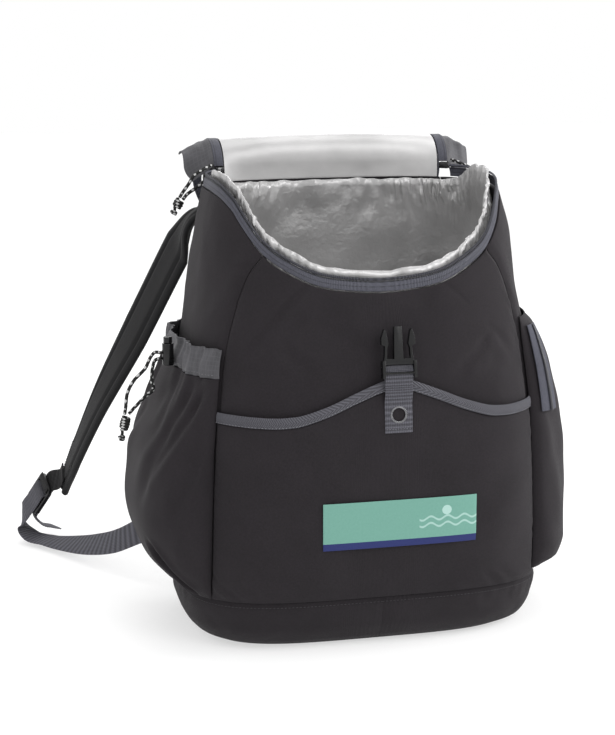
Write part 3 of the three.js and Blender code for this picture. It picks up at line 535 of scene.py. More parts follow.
def creased(creases, width, share, z):
    # How far the cloth is drawn in by creases, each fading out towards its ends
    total = 0.0
    here = Vector((share * width, z))
    for start, end, depth, spread in creases:
        a, b = Vector((start[0] * width, start[1])), Vector((end[0] * width, end[1]))
        run = b - a
        t = (here - a).dot(run) / run.length_squared
        away = (here - a - run * min(1, max(0, t))).length
        if away > spread * 5:
            continue
        fade = blendStep(-0.1, 0.2, t) * blendStep(1.1, 0.75, t)
        total += fade * depth * (math.exp(-(away / spread) ** 2) - 0.45 * math.exp(-((away - 1.8 * spread) / spread) ** 2))
    return total


# Panels between the base and the rim
panelSpec = {
    "front": {"columns": 120, "rows": 110, "size": (0.31, 0.31)},
    "side": {"columns": 84, "rows": 120, "size": (0.21, 0.36)},
    "back": {"columns": 84, "rows": 80, "size": (0.29, 0.36)},
    "dentSize": 0.015,
    "dentDepth": 3.2,
}


def seamRound(up):
    return readTable(frontSeam, up)


frontCreases = [
    ((0.30, 338), (0.12, 270), 1.4, 6.0),
    ((0.62, 250), (0.80, 288), 1.2, 6.0),
    ((0.40, 250), (0.26, 280), 1.2, 6.0),
    ((0.66, 330), (0.90, 262), 1.0, 7.0),
    ((0.36, 300), (0.52, 268), 0.9, 8.0),
]


def bodyPanel(name, kind, angleAt, outward=1):
    spec = panelSpec[kind]
    low = body["bootHeight"] + 0.3

    def place(across, up):
        share = across if outward > 0 else 1 - across
        angle = angleAt(share, up)
        z = mixed(low, rimZ(angleAt(share, 1)), up)
        width, height = spec["size"][0] / mm, spec["size"][1] / mm
        border = min(share * width, (1 - share) * width, up * height)
        base = skinPoint(angle, z)
        free = blendStep(0, 25, border)
        soft = dent(base, panelSpec["dentSize"], panelSpec["dentDepth"], 3) * free
        soft += dent(base, 0.045, 0.8, 7) * free
        if kind == "front":
            soft -= creased(frontCreases, 300, share, z)
        return skinPoint(angle, z, min(0.6, edgeDip(border, along=base.x + base.y + base.z) + min(0.5, soft)) - 0.2)

    piece = clothSheet(name, spec["columns"], spec["rows"], place, body["skin"] - 0.5)
    material = clothMaterial(name, tones["polyester"], 0.0011, spec["size"])
    return finishPiece(piece, [name.replace("_cloth", "")], material)


bodyPanel("front_panel_cloth", "front", lambda a, up: -90 + (2 * a - 1) * (seamRound(up) - 0.12))
bodyPanel("side_panel_right_cloth", "side",
          lambda a, up: mixed(-90 + seamRound(up) + 0.12, body["backSeamAngle"] - 0.12, a))
bodyPanel("side_panel_left_cloth", "side",
          lambda a, up: mixed(180 - body["backSeamAngle"] + 0.12, 270 - seamRound(up) - 0.12, a))
bodyPanel("back_panel_cloth", "back",
          lambda a, up: mixed(body["backSeamAngle"] + 0.12, 180 - body["backSeamAngle"] - 0.12, a))
print("panels")

# The base, from the middle of its underside up to the seam
boot = {"columns": 220, "rows": 46, "underside": 0.3, "size": (0.96, 0.2)}


def bootPlace(across, up):
    angle = -90 + 360 * across
    if up < boot["underside"]:
        share = up / boot["underside"]
        edge = skinPoint(angle, 0)
        middle = Vector((0, body["widestLine"] - 8, 0))
        lift = 0.35 * (1 - share) + 0.02
        return middle.lerp(edge, share) + Vector((0, 0, lift))
    share = (up - boot["underside"]) / (1 - boot["underside"])
    z = body["bootHeight"] * share ** 1.5
    border = body["bootHeight"] - z
    base = skinPoint(angle, z)
    slack = blendStep(6, 18, z) * blendStep(2, 14, border)
    soft = dent(base, 0.02, 2.6, 11) * slack + dent(base, 0.06, 1.1, 12) * slack
    return skinPoint(angle, z, min(0.9, edgeDip(border, along=base.x + base.y) + min(0.6, soft)) - 0.15) + Vector((0, 0, 0.02))


base = clothSheet("base_boot_cloth", boot["columns"], boot["rows"], bootPlace, body["skin"] - 0.5, ring=True)
finishPiece(base, ["base_boot"], clothMaterial("base cloth", tones["polyester"], 0.0011, boot["size"]))

# Silver lining, crumpled where it stands up behind the zip
liner = {"columns": 430, "rows": 64, "floorShare": 0.16, "stand": 19.0, "edgeFold": 2.6, "ringRadius": 137}


def linerTop(angle):
    return rimZ(angle) - 1 + liner["stand"] * (1 - blendStep(88, 122, roundFromFront(angle)))


def linerPlace(across, up):
    angle = -90 - 360 * across
    floorZ = 5.0
    inset = -(body["liningInset"] + 1.2)
    if up < liner["floorShare"]:
        share = up / liner["floorShare"]
        edge = skinPoint(angle, floorZ + 1.5, inset)
        middle = Vector((0, body["widestLine"] - 8, floorZ + 1.5))
        return middle.lerp(edge, share)
    share = ((up - liner["floorShare"]) / (1 - liner["floorShare"])) ** 0.9
    top = linerTop(angle)
    z = mixed(floorZ + 1.5, top, share)
    base = skinPoint(angle, z, inset)
    nearRim = blendStep(60, 6, top - z)
    crumple = dent(base, 0.11, 2.2, 21) + dent((base.x, base.y, base.z * 0.3), 0.26, 1.5, 22)
    slack = dent(base, 0.03, 3.0, 23)
    ring = Vector((math.cos(math.radians(angle)), math.sin(math.radians(angle)), 0)) * liner["ringRadius"]
    drop = Vector((0, 0, top - z))
    pleat = dent(ring + drop, 0.16, 1.6, 25) + dent(ring * 2.6 + drop * 0.5, 0.16, 0.9, 26)
    foil = crinkle(ring * 1.4 + drop * 0.7, 0.13, 1.5, 27) + crinkle(ring * 2.2 + drop * 1.3, 0.15, 0.8, 28)
    inward = max(0.0, 1.4 + crumple + pleat + foil) * nearRim + max(0.0, 1.0 + slack) * blendStep(0, 30, z)
    fold = liner["edgeFold"] * blendStep(14, 2, top - z) * (1 - blendStep(100, 125, roundFromFront(angle)))
    edge = dent((base.x, base.y, 3), 0.09, 1.5, 24) * blendStep(0.9, 1, share)
    return skinPoint(angle, z, inset - inward * (1 - 0.4 * fold / liner["edgeFold"]) + fold) + Vector((0, 0, edge))


lining = clothSheet("lining_cloth", liner["columns"], liner["rows"], linerPlace, 0, ring=True)
applyModifier(lining, "SOLIDIFY", thickness=1.0 * mm, offset=-1)
finishPiece(lining, ["lining"], liningMaterial("crumpled lining", tones["lining"], 0.3, 0.8))
print("base and lining")

# Zip round the opening: a tape with the coil along its top
rimZip = {
    "span": 125.8,
    "tape": (1.0, 10.0, -0.4, 1.7),
    "coil": (10.3, 12.9, 0.0, 2.6),
    "length": 0.62,
}


def rimBand(name, key, rows, columns, crown, material, node):
    low, high, out, thickness = rimZip[key]

    def place(across, up):
        angle = -90 + (2 * across - 1) * rimZip["span"]
        bulge = crown * math.sin(math.pi * up)
        wobble = dent((across * 900, 0, 0), 0.02, 0.35, 31)
        return skinPoint(angle, rimZ(angle) + mixed(low, high, up), out + bulge + wobble - crown)

    piece = clothSheet(name, columns, rows, place, thickness - crown, edge=0.3)
    return finishPiece(piece, [node], material)


rimBand("rim_zip_tape_cloth", "tape", 8, 320, 0.5,
        zipMaterial("rim zip tape", tones["zipTape"], (0.62, 0.01), 0.0015, [(0.42, 0.5, 0.35), (0.86, 1.0, 0.25)]),
        "rim_zip_tape")
rimBand("rim_zip_coil_teeth", "coil", 6, 320, 0.8,
        zipMaterial("rim zip coil", tones["zipTape"], (0.62, 0.003), 0.0013, [(0.0, 1.0, 0.3)]), "rim_zip_coil")

# Lid, folded back over the wearer's side
lid = {
    "length": 190,
    "halfWidth": 107,
    "rise": 15,
    "foldRadius": 24,
    "foldTurn": 165,
    "skin": 5.0,
    "hingeInset": 5,
    "straighten": 60,
    "crown": 3,
    "tape": 10,
    "wing": 26,
}
lidWidths = [(0, 0.98), (0.35, 1), (0.6, 1.1), (1, 1.06)]
wingWidths = [(0, 0.7), (15, 0.75), (30, 1), (75, 1), (95, 0.3)]


def lidWidth(s):
    return lid["halfWidth"] * readTable(lidWidths, s / lid["length"])


def lidReach(across):
    side = lid["length"] / 2
    return side + (lid["length"] - side) * math.sqrt(max(0, 1 - across ** 2))


def lidFlat(share, along):
    across = math.sin(math.pi / 2 * (2 * share - 1))
    s = lidReach(across) * along
    return across * lidWidth(s), s


def hingeY(x):
    half = body["baseWidth"] / 2 * section("width", body["rimHeight"])
    power = section("square", body["rimHeight"])
    side = min(abs(x), lid["halfWidth"]) / half
    return body["widestLine"] + body["backDepth"] * section("back", body["rimHeight"]) * (1 - side ** power) ** (1 / power)


def lidPoint(x, s, h):
    turn = math.radians(lid["foldTurn"])
    arc = min(turn, max(0, (s - lid["rise"]) / lid["foldRadius"]))
    hang = max(0, s - lid["rise"] - lid["foldRadius"] * turn)
    heading = math.pi / 2 - arc
    straight = hingeY(0) - 8
    start = mixed(hingeY(x), straight, blendStep(0, lid["straighten"], s)) - lid["hingeInset"]
    crown = lid["crown"] * blendStep(0, lid["straighten"], s) * (1 - min(1, (x / lid["halfWidth"]) ** 2))
    return Vector((
        x,
        start + lid["foldRadius"] * (1 - math.cos(arc)) + hang * math.cos(heading) - h * math.sin(heading),
        body["rimHeight"] + 0.3 + min(s, lid["rise"]) + lid["foldRadius"] * math.sin(arc)
        + hang * math.sin(heading) + h * math.cos(heading) + crown,
    ))


def lidSheet(name, height, thickness, facing, softness, seed):
    def place(share, along):
        x, s = lidFlat(share if facing > 0 else 1 - share, along)
        edge = min(share, 1 - share) * 2 * lid["halfWidth"]
        border = min(edge, (1 - along) * lid["length"])
        free = blendStep(0, 22, border)
        soft = (dent((x, s, 0), 0.03, softness, seed) + dent((x, s, 0), 0.08, softness * 0.4, seed + 1)) * free
        return lidPoint(x, s, height - facing * (0.3 + max(-0.2, soft)))

    return clothSheet(name, 96, 110, place, thickness)


lidLining = lidSheet("lid_lining_cloth", 0, 0.9, 1, 0.5, 41)
finishPiece(lidLining, ["lid_lining"], liningMaterial("lid lining", tones["lining"], 0.4, 0.12))
lidShell = lidSheet("lid_shell_cloth", -(1.5 + lid["skin"]), 4.2, -1, 0.8, 43)
finishPiece(lidShell, ["lid_shell"], clothMaterial("lid cloth", tones["polyester"], 0.0011, (0.23, 0.19)))


def lidOutline(share):
    def place(at):
        if at < 1 / 3:
            return lidFlat(0, at * 3)
        if at < 2 / 3:
            return lidFlat(at * 3 - 1, 1)
        return lidFlat(1, 3 - at * 3)

    step = 0.002
    before, after = place(max(0, share - step)), place(min(1, share + step))
    length = math.hypot(after[0] - before[0], after[1] - before[1])
    x, s = place(share)
    return x, s, -(after[1] - before[1]) / length, (after[0] - before[0]) / length


def lidBand(name, columns, rows, start, end, near, far, height, thickness, soft=0.0, seed=0, sag=lambda s, r: 0):
    def place(share, outward):
        x, s, outX, outS = lidOutline(mixed(start, end, share))
        reach = mixed(near, far(s), outward)
        crumple = dent((x * 1.0, s, reach * 2), 0.07, soft, seed) * blendStep(0, 4, reach - near)
        place = lidPoint(x + outX * reach, max(0, s + outS * reach), height(reach) + crumple)
        place.z -= sag(s, reach)
        return place

    return clothSheet(name, columns, rows, place, thickness, edge=0.3)


bandStart = lid["rise"] / (lid["length"] / 2) / 3
lidTape = lidBand("lid_zip_tape_cloth", 300, 8, bandStart, 1 - bandStart, 1.3, lambda s: lid["tape"],
                  lambda r: 0, 1.6)
finishPiece(lidTape, ["lid_zip_tape"],
            zipMaterial("lid zip tape", tones["zipTape"], (0.5, 0.009), 0.0015, [(0.72, 0.82, 0.35)]))


def wingReach(s):
    return lid["tape"] + 0.3 + lid["wing"] * readTable(wingWidths, s)


def wingHeight(reach):
    return -0.3 - 0.45 * (reach - lid["tape"] - 0.3)


def wingSag(s, reach):
    return 0.75 * (reach - lid["tape"] - 0.3) * (1 - blendStep(15, 42, s))


for side, (start, end) in {"left": (bandStart, 0.32), "right": (0.68, 1 - bandStart)}.items():
    wing = lidBand(f"lid_wing_{side}_cloth", 90, 30, start, end, lid["tape"] + 0.3, wingReach, wingHeight,
                   1.3, soft=2.2, seed=51, sag=wingSag)
    finishPiece(wing, [f"lid_wing_{side}"],
                ripstopMaterial(f"wing {side}", tones["ripstop"], 0.004, (0.09, 0.03)))
print("zip and lid")

# Front pocket with its bound edge
frontPocket = {
    "centre": 10,
    "wall": 1.5,
    "bindingWidth": 10,
    "bindingThickness": 2.6,
    "peak": 246,
    "drop": 32,
    "bulge": 3,
}
pocketEdge = [(0, 0), (12, 0.09), (36, 0.37), (65, 0.75), (90, 0.97), (105, 1), (150, 0.95)]


def edgeZ(x):
    out = abs(x - frontPocket["centre"])
    return frontPocket["peak"] - frontPocket["drop"] * readTable(pocketEdge, out)


def frontSpace(angle, z):
    share = roundFromFront(angle) / 53
    return 0.3 + frontPocket["bulge"] * (1 - min(1, share) ** 4) * blendStep(
        body["bootHeight"], body["bootHeight"] + 60, z)


def frontLayer(name, columns, rows, lowZ, highZ, outer, thickness, relief, edge=0.35):
    def place(across, up):
        angle = -90 + (2 * across - 1) * 52.88
        x = skinPoint(angle, frontPocket["peak"] - frontPocket["drop"]).x
        z = mixed(lowZ(edgeZ(x)), highZ(edgeZ(x)), up)
        return skinPoint(angle, z, frontSpace(angle, z) + outer + relief(across, up, angle, z))

    return clothSheet(name, columns, rows, place, thickness, edge=edge)


def pocketRelief(across, up, angle, z):
    border = min(across * 305, (1 - across) * 305, z - body["bootHeight"])
    base = skinPoint(angle, z)
    free = blendStep(0, 22, border)
    return edgeDip(border, 1.2, along=base.x + base.z) + (dent(base, 0.013, 2.4, 61) + dent(base, 0.035, 0.9, 62)) * free


half = frontPocket["bindingWidth"] / 2
pocket = frontLayer("front_pocket_cloth", 130, 84, lambda e: body["bootHeight"] + 0.3, lambda e: e - half - 0.3,
                    frontPocket["wall"], 1.2, pocketRelief)
finishPiece(pocket, ["front_pocket"],
            clothMaterial("front pocket cloth", tones["polyester"], 0.0011, (0.33, 0.19)))


def bindingRelief(across, up, angle, z):
    return -1.3 + 1.3 * math.sin(math.pi * up) ** 0.5 + dent((angle * 4, z, 0), 0.05, 0.35, 63)


binding = frontLayer("pocket_binding_tape", 300, 10, lambda e: e - half, lambda e: e + half,
                     frontPocket["bindingThickness"], 1.2, bindingRelief, edge=0.4)
finishPiece(binding, ["pocket_binding"],
            herringboneMaterial("binding", tones["binding"], 0.0026, (0.33, 0.01)))

patch = {"width": 137, "height": 43, "bottom": 98, "lift": 2.4, "thickness": 0.9}


def patchPlace(across, up):
    z = patch["bottom"] + patch["height"] * up
    angle = frontAngle(frontPocket["centre"] + 2 + patch["width"] * (across - 0.5), z)
    return skinPoint(angle, z, frontSpace(angle, z) + patch["lift"] + patch["thickness"])


emblem = clothSheet("emblem_patch_print", 60, 20, patchPlace, patch["thickness"], edge=0.2)
finishPiece(emblem, ["emblem_patch"], patchMaterial("patch", (0.137, 0.043)))
print("front pocket")

# Side pockets: the left one is gathered by a cord, the right one is zipped
drawBulges = [(48, 0.02), (60, 0.36), (81, 0.78), (119, 1), (166, 0.94), (203, 0.64), (235, 0.34), (250, 0.24), (275, 0.2)]
zipBulges = [(54, 0.3), (62, 0.82), (78, 1), (119, 0.98), (190, 0.88), (241, 0.74), (270, 0.48), (283, 0.28), (292, 0.02)]
sidePocket = {
    "start": 53.12,
    "drawTop": 249,
    "drawBulge": 41,
    "casing": 26,
    "zipBottom": 54,
    "zipTop": 292,
    "zipBulge": 29,
    "wall": 1.5,
    "pleats": 5,
    "pleatDepth": 2.2,
}
sidePocket["span"] = 90 + body["backSeamAngle"] - sidePocket["start"]


def sideSpace(bulges, depth, share, z, gathers):
    around = math.sin(math.pi * min(1, max(0, share))) ** 0.62
    fold = gathers * sidePocket["pleatDepth"] * around * math.sin(2 * math.pi * sidePocket["pleats"] * share)
    return 0.6 + max(0.0, depth * around * readTable(bulges, z) + fold)


def leftAngle(share):
    return 270 - sidePocket["start"] - sidePocket["span"] * share


def rightAngle(share):
    return -90 + sidePocket["start"] + sidePocket["span"] * share


def sideRelief(share, z, low, high, seed):
    border = min(share * 190, (1 - share) * 190, z - low)
    free = blendStep(0, 26, border)
    place = Vector((share * 190, z, seed * 40.0))
    folds = dent((place.x * 2.0 + place.y * 0.55, place.y * 0.4, seed), 0.019, 4.4, seed)
    return (folds + dent(place, 0.03, 1.2, seed + 1)) * free + edgeDip(border, 0.8)


drawCreases = [  # from (share, z) to (share, z), depth and width of each
    ((0.12, 50), (0.34, 96), 5.0, 3.4),
    ((0.30, 52), (0.52, 80), 2.4, 4.0),
    ((0.08, 240), (0.30, 158), 3.2, 5.0),
    ((0.18, 240), (0.40, 128), 3.4, 6.0),
    ((0.36, 240), (0.64, 150), 2.4, 7.0),
    ((0.03, 205), (0.16, 120), 2.0, 6.0),
    ((0.66, 236), (0.84, 140), 2.4, 7.0),
]


def drawPlace(thick):
    def place(across, up):
        share = 1 - across
        z = mixed(body["bootHeight"] + 0.3, sidePocket["drawTop"], up)
        gather = blendStep(170, sidePocket["drawTop"], z)
        space = sideSpace(drawBulges, sidePocket["drawBulge"], share, z, gather)
        fine = 0.9 * gather * math.sin(2 * math.pi * 13 * share + 1.0) * math.sin(math.pi * share)
        relief = sideRelief(share, z, body["bootHeight"], sidePocket["drawTop"], 71) * (1 - 0.6 * gather)
        folded = creased(drawCreases, 190, share, z)
        return skinPoint(leftAngle(share), z, max(0.4, space + thick + relief + fine - folded))
    return place


drawPocket = clothSheet("side_pocket_left_cloth", 150, 150, drawPlace(sidePocket["wall"]), 1.2)
finishPiece(drawPocket, ["side_pocket_left"],
            clothMaterial("left pocket cloth", tones["polyester"], 0.0011, (0.24, 0.26)))


def casingPlace(across, up):
    share = 1 - across
    z = mixed(sidePocket["drawTop"] + 0.3, sidePocket["drawTop"] + sidePocket["casing"], up)
    space = sideSpace(drawBulges, sidePocket["drawBulge"], share, z, 1)
    puff = 1.1 * math.sin(math.pi * min(1, up * 1.15)) ** 0.7
    fine = 0.9 * math.sin(2 * math.pi * 17 * share + 2.0 * up) * math.sin(math.pi * share) ** 0.5
    crumple = dent((share * 190, z, 5), 0.11, 2.6, 75) * blendStep(0, 0.05, min(share, 1 - share))
    top = 2.0 * dent((share * 190, 0, 9), 0.06, 1.0, 76) * up
    p = skinPoint(leftAngle(share), z, max(0.9, space + 1.0 + puff + fine + crumple))
    return p + Vector((0, 0, top))


casing = clothSheet("pocket_casing_left_cloth", 220, 26, casingPlace, 1.2, edge=0.3)
finishPiece(casing, ["pocket_casing_left"],
            ripstopMaterial("casing", tones["ripstop"], 0.004, (0.2, 0.026)))


def zipSpace(share, z):
    return sideSpace(zipBulges, sidePocket["zipBulge"], share, z, 0)


def zipPocketPlace(across, up):
    share = across
    z = mixed(sidePocket["zipBottom"], sidePocket["zipTop"], up)
    relief = sideRelief(share, z, sidePocket["zipBottom"], sidePocket["zipTop"], 81)
    relief *= blendStep(0, 20, sidePocket["zipTop"] - z)
    return skinPoint(rightAngle(share), z, max(0.4, zipSpace(share, z) + sidePocket["wall"] - 0.3 + relief))


zipPocket = clothSheet("side_pocket_right_cloth", 130, 160, zipPocketPlace, 1.2)
finishPiece(zipPocket, ["side_pocket_right"],
            clothMaterial("right pocket cloth", tones["polyester"], 0.0011, (0.24, 0.28)))

pocketZip = {"start": 0.035, "end": 0.16, "bottom": 205, "top": 284, "lift": 2.3, "tape": 1.2, "coil": 1.3}


def pocketZipBand(name, low, high, lift, thickness, columns, crown, material, node):
    def place(across, up):
        share = mixed(pocketZip["start"], pocketZip["end"], mixed(low, high, across))
        z = mixed(pocketZip["bottom"], pocketZip["top"], up)
        out = zipSpace(share, z) + lift + thickness - crown * (1 - math.sin(math.pi * across))
        return skinPoint(rightAngle(share), z, out)

    piece = clothSheet(name, columns, 70, place, thickness - crown, edge=0.2)
    return finishPiece(piece, [node], material)


pocketZipBand("pocket_zip_tape_cloth", 0, 1, pocketZip["lift"], pocketZip["tape"], 12, 0.2,
              clothMaterial("pocket zip tape", tones["zipTape"], 0.0012, (0.02, 0.08)), "pocket_zip_tape")
pocketZipBand("pocket_zip_coil_teeth", 0.42, 0.6, pocketZip["lift"] + pocketZip["tape"] + 0.3, pocketZip["coil"], 6,
              0.5, plasticMaterial("pocket zip coil", tint(tones["zipTape"], 0.3), 0.5), "pocket_zip_coil")
print("side pockets")


# Straps and webbing, swept along the same places as their solids
def smoothPath(rows, steps):
    # Places on a centripetal curve through the rows, with their width's turn and lean between rows
    points = [Vector(row[:3]) for row in rows]
    points = [2 * points[0] - points[1]] + points + [2 * points[-1] - points[-2]]
    places = []
    for k in range(steps + 1):
        f = k / steps * (len(rows) - 1)
        i = min(len(rows) - 2, int(f))
        t = f - i
        p0, p1, p2, p3 = points[i:i + 4]
        d0, d1, d2 = [max(1e-4, (b - a).length ** 0.5) for a, b in ((p0, p1), (p1, p2), (p2, p3))]
        t1 = ((p1 - p0) / d0 - (p2 - p0) / (d0 + d1) + (p2 - p1) / d1) * d1
        t2 = ((p2 - p1) / d1 - (p3 - p1) / (d1 + d2) + (p3 - p2) / d2) * d1
        here = p1 + t1 * t + (3 * (p2 - p1) - 2 * t1 - t2) * t ** 2 + (2 * (p1 - p2) + t1 + t2) * t ** 3
        turned = [mixed(a, b, t) for a, b in zip(rows[i][3:], rows[i + 1][3:])]
        places.append([*here, *turned])
    return places


def sweptFrames(rows, steps):
    places = smoothPath(rows, steps)
    frames = []
    for k, values in enumerate(places):
        here = Vector(values[:3])
        before = Vector(places[max(0, k - 1)][:3])
        after = Vector(places[min(steps, k + 1)][:3])
        along = (after - before).normalized()
        turn, lean = math.radians(values[3]), math.radians(values[4])
        wide = Vector((math.cos(turn) * math.cos(lean), math.sin(turn) * math.cos(lean), math.sin(lean)))
        wide = (wide - along * wide.dot(along)).normalized()
        frames.append((here, along, wide, along.cross(wide)))
    return frames


def sweptBand(name, rows, steps, profile, closedSides):
    # profile(k / steps) gives points (across, out) round the section, and the map runs with them
    frames = sweptFrames(rows, steps)
    count = len(profile(0))
    mesh = bmesh.new()
    uvLayer = mesh.loops.layers.uv.new("UVMap")
    loops = []
    for k, (here, along, wide, thick) in enumerate(frames):
        loops.append([mesh.verts.new((here + wide * a + thick * b) * mm) for a, b in profile(k / steps)])
    for k in range(steps):
        for i in range(count):
            j = (i + 1) % count
            face = mesh.faces.new((loops[k][i], loops[k][j], loops[k + 1][j], loops[k + 1][i]))
            shares = [closedSides[i], closedSides[i + 1], closedSides[i + 1], closedSides[i]]
            lengths = [k, k, k + 1, k + 1]
            for loop, u, v in zip(face.loops, shares, lengths):
                loop[uvLayer].uv = (u, v / steps)
    for loop, flip in ((loops[0], True), (loops[-1], False)):
        mesh.faces.new(list(reversed(loop)) if flip else loop)
    bmesh.ops.recalc_face_normals(mesh, faces=mesh.faces)
    data = bpy.data.meshes.new(name)
    mesh.to_mesh(data)
    mesh.free()
    piece = bpy.data.objects.new(name, data)
    bpy.context.scene.collection.objects.link(piece)
    bpy.ops.object.select_all(action="DESELECT")
    bpy.context.view_layer.objects.active = piece
    piece.select_set(True)
    bpy.ops.object.shade_smooth_by_angle(angle=math.radians(50))
    return piece


def bandProfile(width, thickness, columns=10):
    # A flat band with soft edges, its top from left to right and back along its underside
    top, bottom = [], []
    for i in range(columns + 1):
        share = i / columns
        across = (share - 0.5) * width
        out = thickness / 2 * (1 - abs(2 * share - 1) ** 8 * 0.45)
        top.append((across, -out))
        bottom.append((-across, out))
    return top + bottom


def bandShares(columns=10):
    forward = [i / columns for i in range(columns + 1)]
    return forward + list(reversed(forward)) + [0]


def mirrorRows(rows):
    return [(-x, y, z, 180 - turn, lean) for x, y, z, turn, lean in rows]


strap = {
    "width": 56,
    "thickness": 10,
    "steps": 150,
    "columns": 26,
    "piping": 0.9,
}
padRows = [
    (-92, 103.8, 394, 22.5, 0),
    (-101, 113.7, 383, 34, 4),
    (-128, 117, 370, 60, 16),
    (-143, 137, 336, 98, 30),
    (-181, 168, 250, 98, 27),
    (-216, 200, 172, 88, 25),
    (-236, 235, 112, 80, 29),
    (-248, 265, 68, 84, 33),
]


def padProfile(at):
    # Rounded pad with a bead of piping along each edge and a shallow crease beside it
    narrow = 1 - 0.4 * blendStep(0.85, 1, at)
    width, thickness = strap["width"] * narrow, strap["thickness"]
    columns = strap["columns"]
    top, bottom = [], []
    for i in range(columns + 1):
        share = i / columns
        side = abs(2 * share - 1)
        across = (share - 0.5) * width
        out = thickness / 2 * (1 - side ** 5) ** 0.6
        crease = 2.4 * math.exp(-((side - 0.6) / 0.08) ** 2)
        bead = strap["piping"] * math.exp(-((side - 0.97) / 0.05) ** 2)
        wobble = dent((at * 430, share * 56, 0), 0.03, 0.6, 91) * (1 - side)
        out = max(0.5, out - crease + bead + min(0.2, wobble) - 0.3)
        top.append((across, -out))
        bottom.append((-across, out))
    return top + bottom


webbing = {"width": 25, "thickness": 1.8, "rib": 0.0029}
lock = {"centre": (-274, 277, 55), "turn": 100.7, "lean": 30, "down": (-0.445, 0.39, -0.806)}
lockWide = Vector((
    math.cos(math.radians(lock["turn"])) * math.cos(math.radians(lock["lean"])),
    math.sin(math.radians(lock["turn"])) * math.cos(math.radians(lock["lean"])),
    math.sin(math.radians(lock["lean"])),
))
lockDown = Vector(lock["down"])
lockDown = (lockDown - lockWide * lockDown.dot(lockWide)).normalized()
lockOut = lockDown.cross(lockWide)


def atLock(down, out):
    p = Vector(lock["centre"]) + lockDown * down + lockOut * out
    return (p.x, p.y, p.z, lock["turn"], lock["lean"])


beside = 3.38
topFold = -12.12
middleFold = -7.88
linkRows = [
    (-250.5, 254.7, 84.2, 84, 33),
    (-253.4, 261.3, 74.8, 86, 33),
    atLock(-20, beside + 0.2),
    atLock(-15.8, beside),
    atLock(topFold - 0.6, beside * 0.8),
    atLock(topFold, 0),
    atLock(topFold - 0.6, -beside * 0.8),
    atLock(-15.8, -beside),
    atLock(-20, -beside),
]
webbingRows = [
    (-155, 106, 66, 35, 78),
    (-182, 122, 56, 35, 76),
    (-208, 152, 36, 35, 66),
    (-228, 190, 22, 35, 48),
    (-246, 226, 13, 35, 28),
    (-266, 258, 8, 40, 8),
    (-284, 281, 8, 55, 5),
    (-292, 291, 18, 75, 12),
    atLock(26, -beside - 0.4),
    atLock(14, -beside),
    atLock(0, -beside),
    atLock(-4.8, -beside),
    atLock(middleFold + 0.6, -beside * 0.8),
    atLock(middleFold, 0),
    atLock(middleFold + 0.6, beside * 0.8),
    atLock(-4.8, beside),
    atLock(0, beside),
    atLock(14, beside),
    atLock(24, beside + 1.5),
    (-277, 291, 24, 105, 15),
    (-268, 298, 14, 117, 0),
    (-256, 304, 9, 117, 0),
]


def webbingBand(name, rows, steps, length, node, tone="webbing"):
    piece = sweptBand(name, rows, steps, lambda at: bandProfile(webbing["width"], webbing["thickness"] - 0.1),
                      bandShares())
    material = webbingMaterial(name, tones[tone], webbing["rib"], (0.025, length))
    return finishPiece(piece, [node], material)


padShares = bandShares(strap["columns"])
for side in ("left", "right"):
    turned = (lambda rows: rows) if side == "left" else mirrorRows
    pad = sweptBand(f"strap_pad_{side}_cloth", turned(padRows), strap["steps"], padProfile, padShares)
    finishPiece(pad, [f"strap_pad_{side}"],
                clothMaterial(f"strap {side}", tones["strap"], 0.0012, (0.056, 0.43)))
    webbingBand(f"strap_link_{side}_band", turned(linkRows), 64, 0.055, f"strap_link_{side}", "strap")
    webbingBand(f"strap_webbing_{side}_band", turned(webbingRows), 252, 0.36, f"strap_webbing_{side}")
print("straps")

# Tab with the plug's bar in its fold
barHeight = 259


def frontPlace(z, offset):
    centre = frontPocket["centre"]
    return (centre, skinPoint(frontAngle(centre, z), z, offset).y, z, 0, 0)


layer = webbing["thickness"] + 0.3
onPocket = frontPocket["bulge"] + 0.3 + frontPocket["wall"] + 0.3 + webbing["thickness"] / 2
onBinding = frontPocket["bulge"] + 0.3 + frontPocket["bindingThickness"] + 0.3 + webbing["thickness"] / 2
barLoop = 1.3 + 0.3 + webbing["thickness"] / 2
barPlace = Vector(frontPlace(barHeight, onBinding + barLoop + 0.3)[:3])
frontLean = math.atan2(frontPlace(barHeight + 37, 0)[1] - frontPlace(barHeight, 0)[1], 37)


def fromBar(up, out):
    return (barPlace.x, barPlace.y + up * math.sin(frontLean) - out * math.cos(frontLean),
            barPlace.z + up * math.cos(frontLean) + out * math.sin(frontLean), 0, 0)


tabRows = [
    frontPlace(202, onPocket),
    frontPlace(214, onPocket),
    frontPlace(229, onPocket),
    frontPlace(239, onBinding + layer),
    frontPlace(245, onBinding + layer + 0.5),
    fromBar(-4, barLoop),
    fromBar(0, barLoop),
    fromBar(barLoop * 0.75, barLoop * 0.66),
    fromBar(barLoop, 0),
    fromBar(barLoop * 0.75, -barLoop * 0.66),
    fromBar(0, -barLoop),
    fromBar(-4, -barLoop),
    frontPlace(241, onBinding),
]
tab = webbingBand("webbing_tab_band", tabRows, 144, 0.105, "webbing_tab")
eyelet = {"height": 218, "hole": 7.1}
eyeletSpot = Vector(frontPlace(eyelet["height"], onPocket)[:3])
bpy.ops.object.select_all(action="DESELECT")
bpy.ops.mesh.primitive_cylinder_add(vertices=48, radius=eyelet["hole"] * mm, depth=0.009, location=eyeletSpot * mm)
punch = bpy.context.object
punch.rotation_euler = (math.pi / 2 - frontLean, 0, 0)
applyModifier(tab, "BOOLEAN", object=punch, operation="DIFFERENCE", solver="EXACT")
bpy.data.objects.remove(punch)
print("tab")


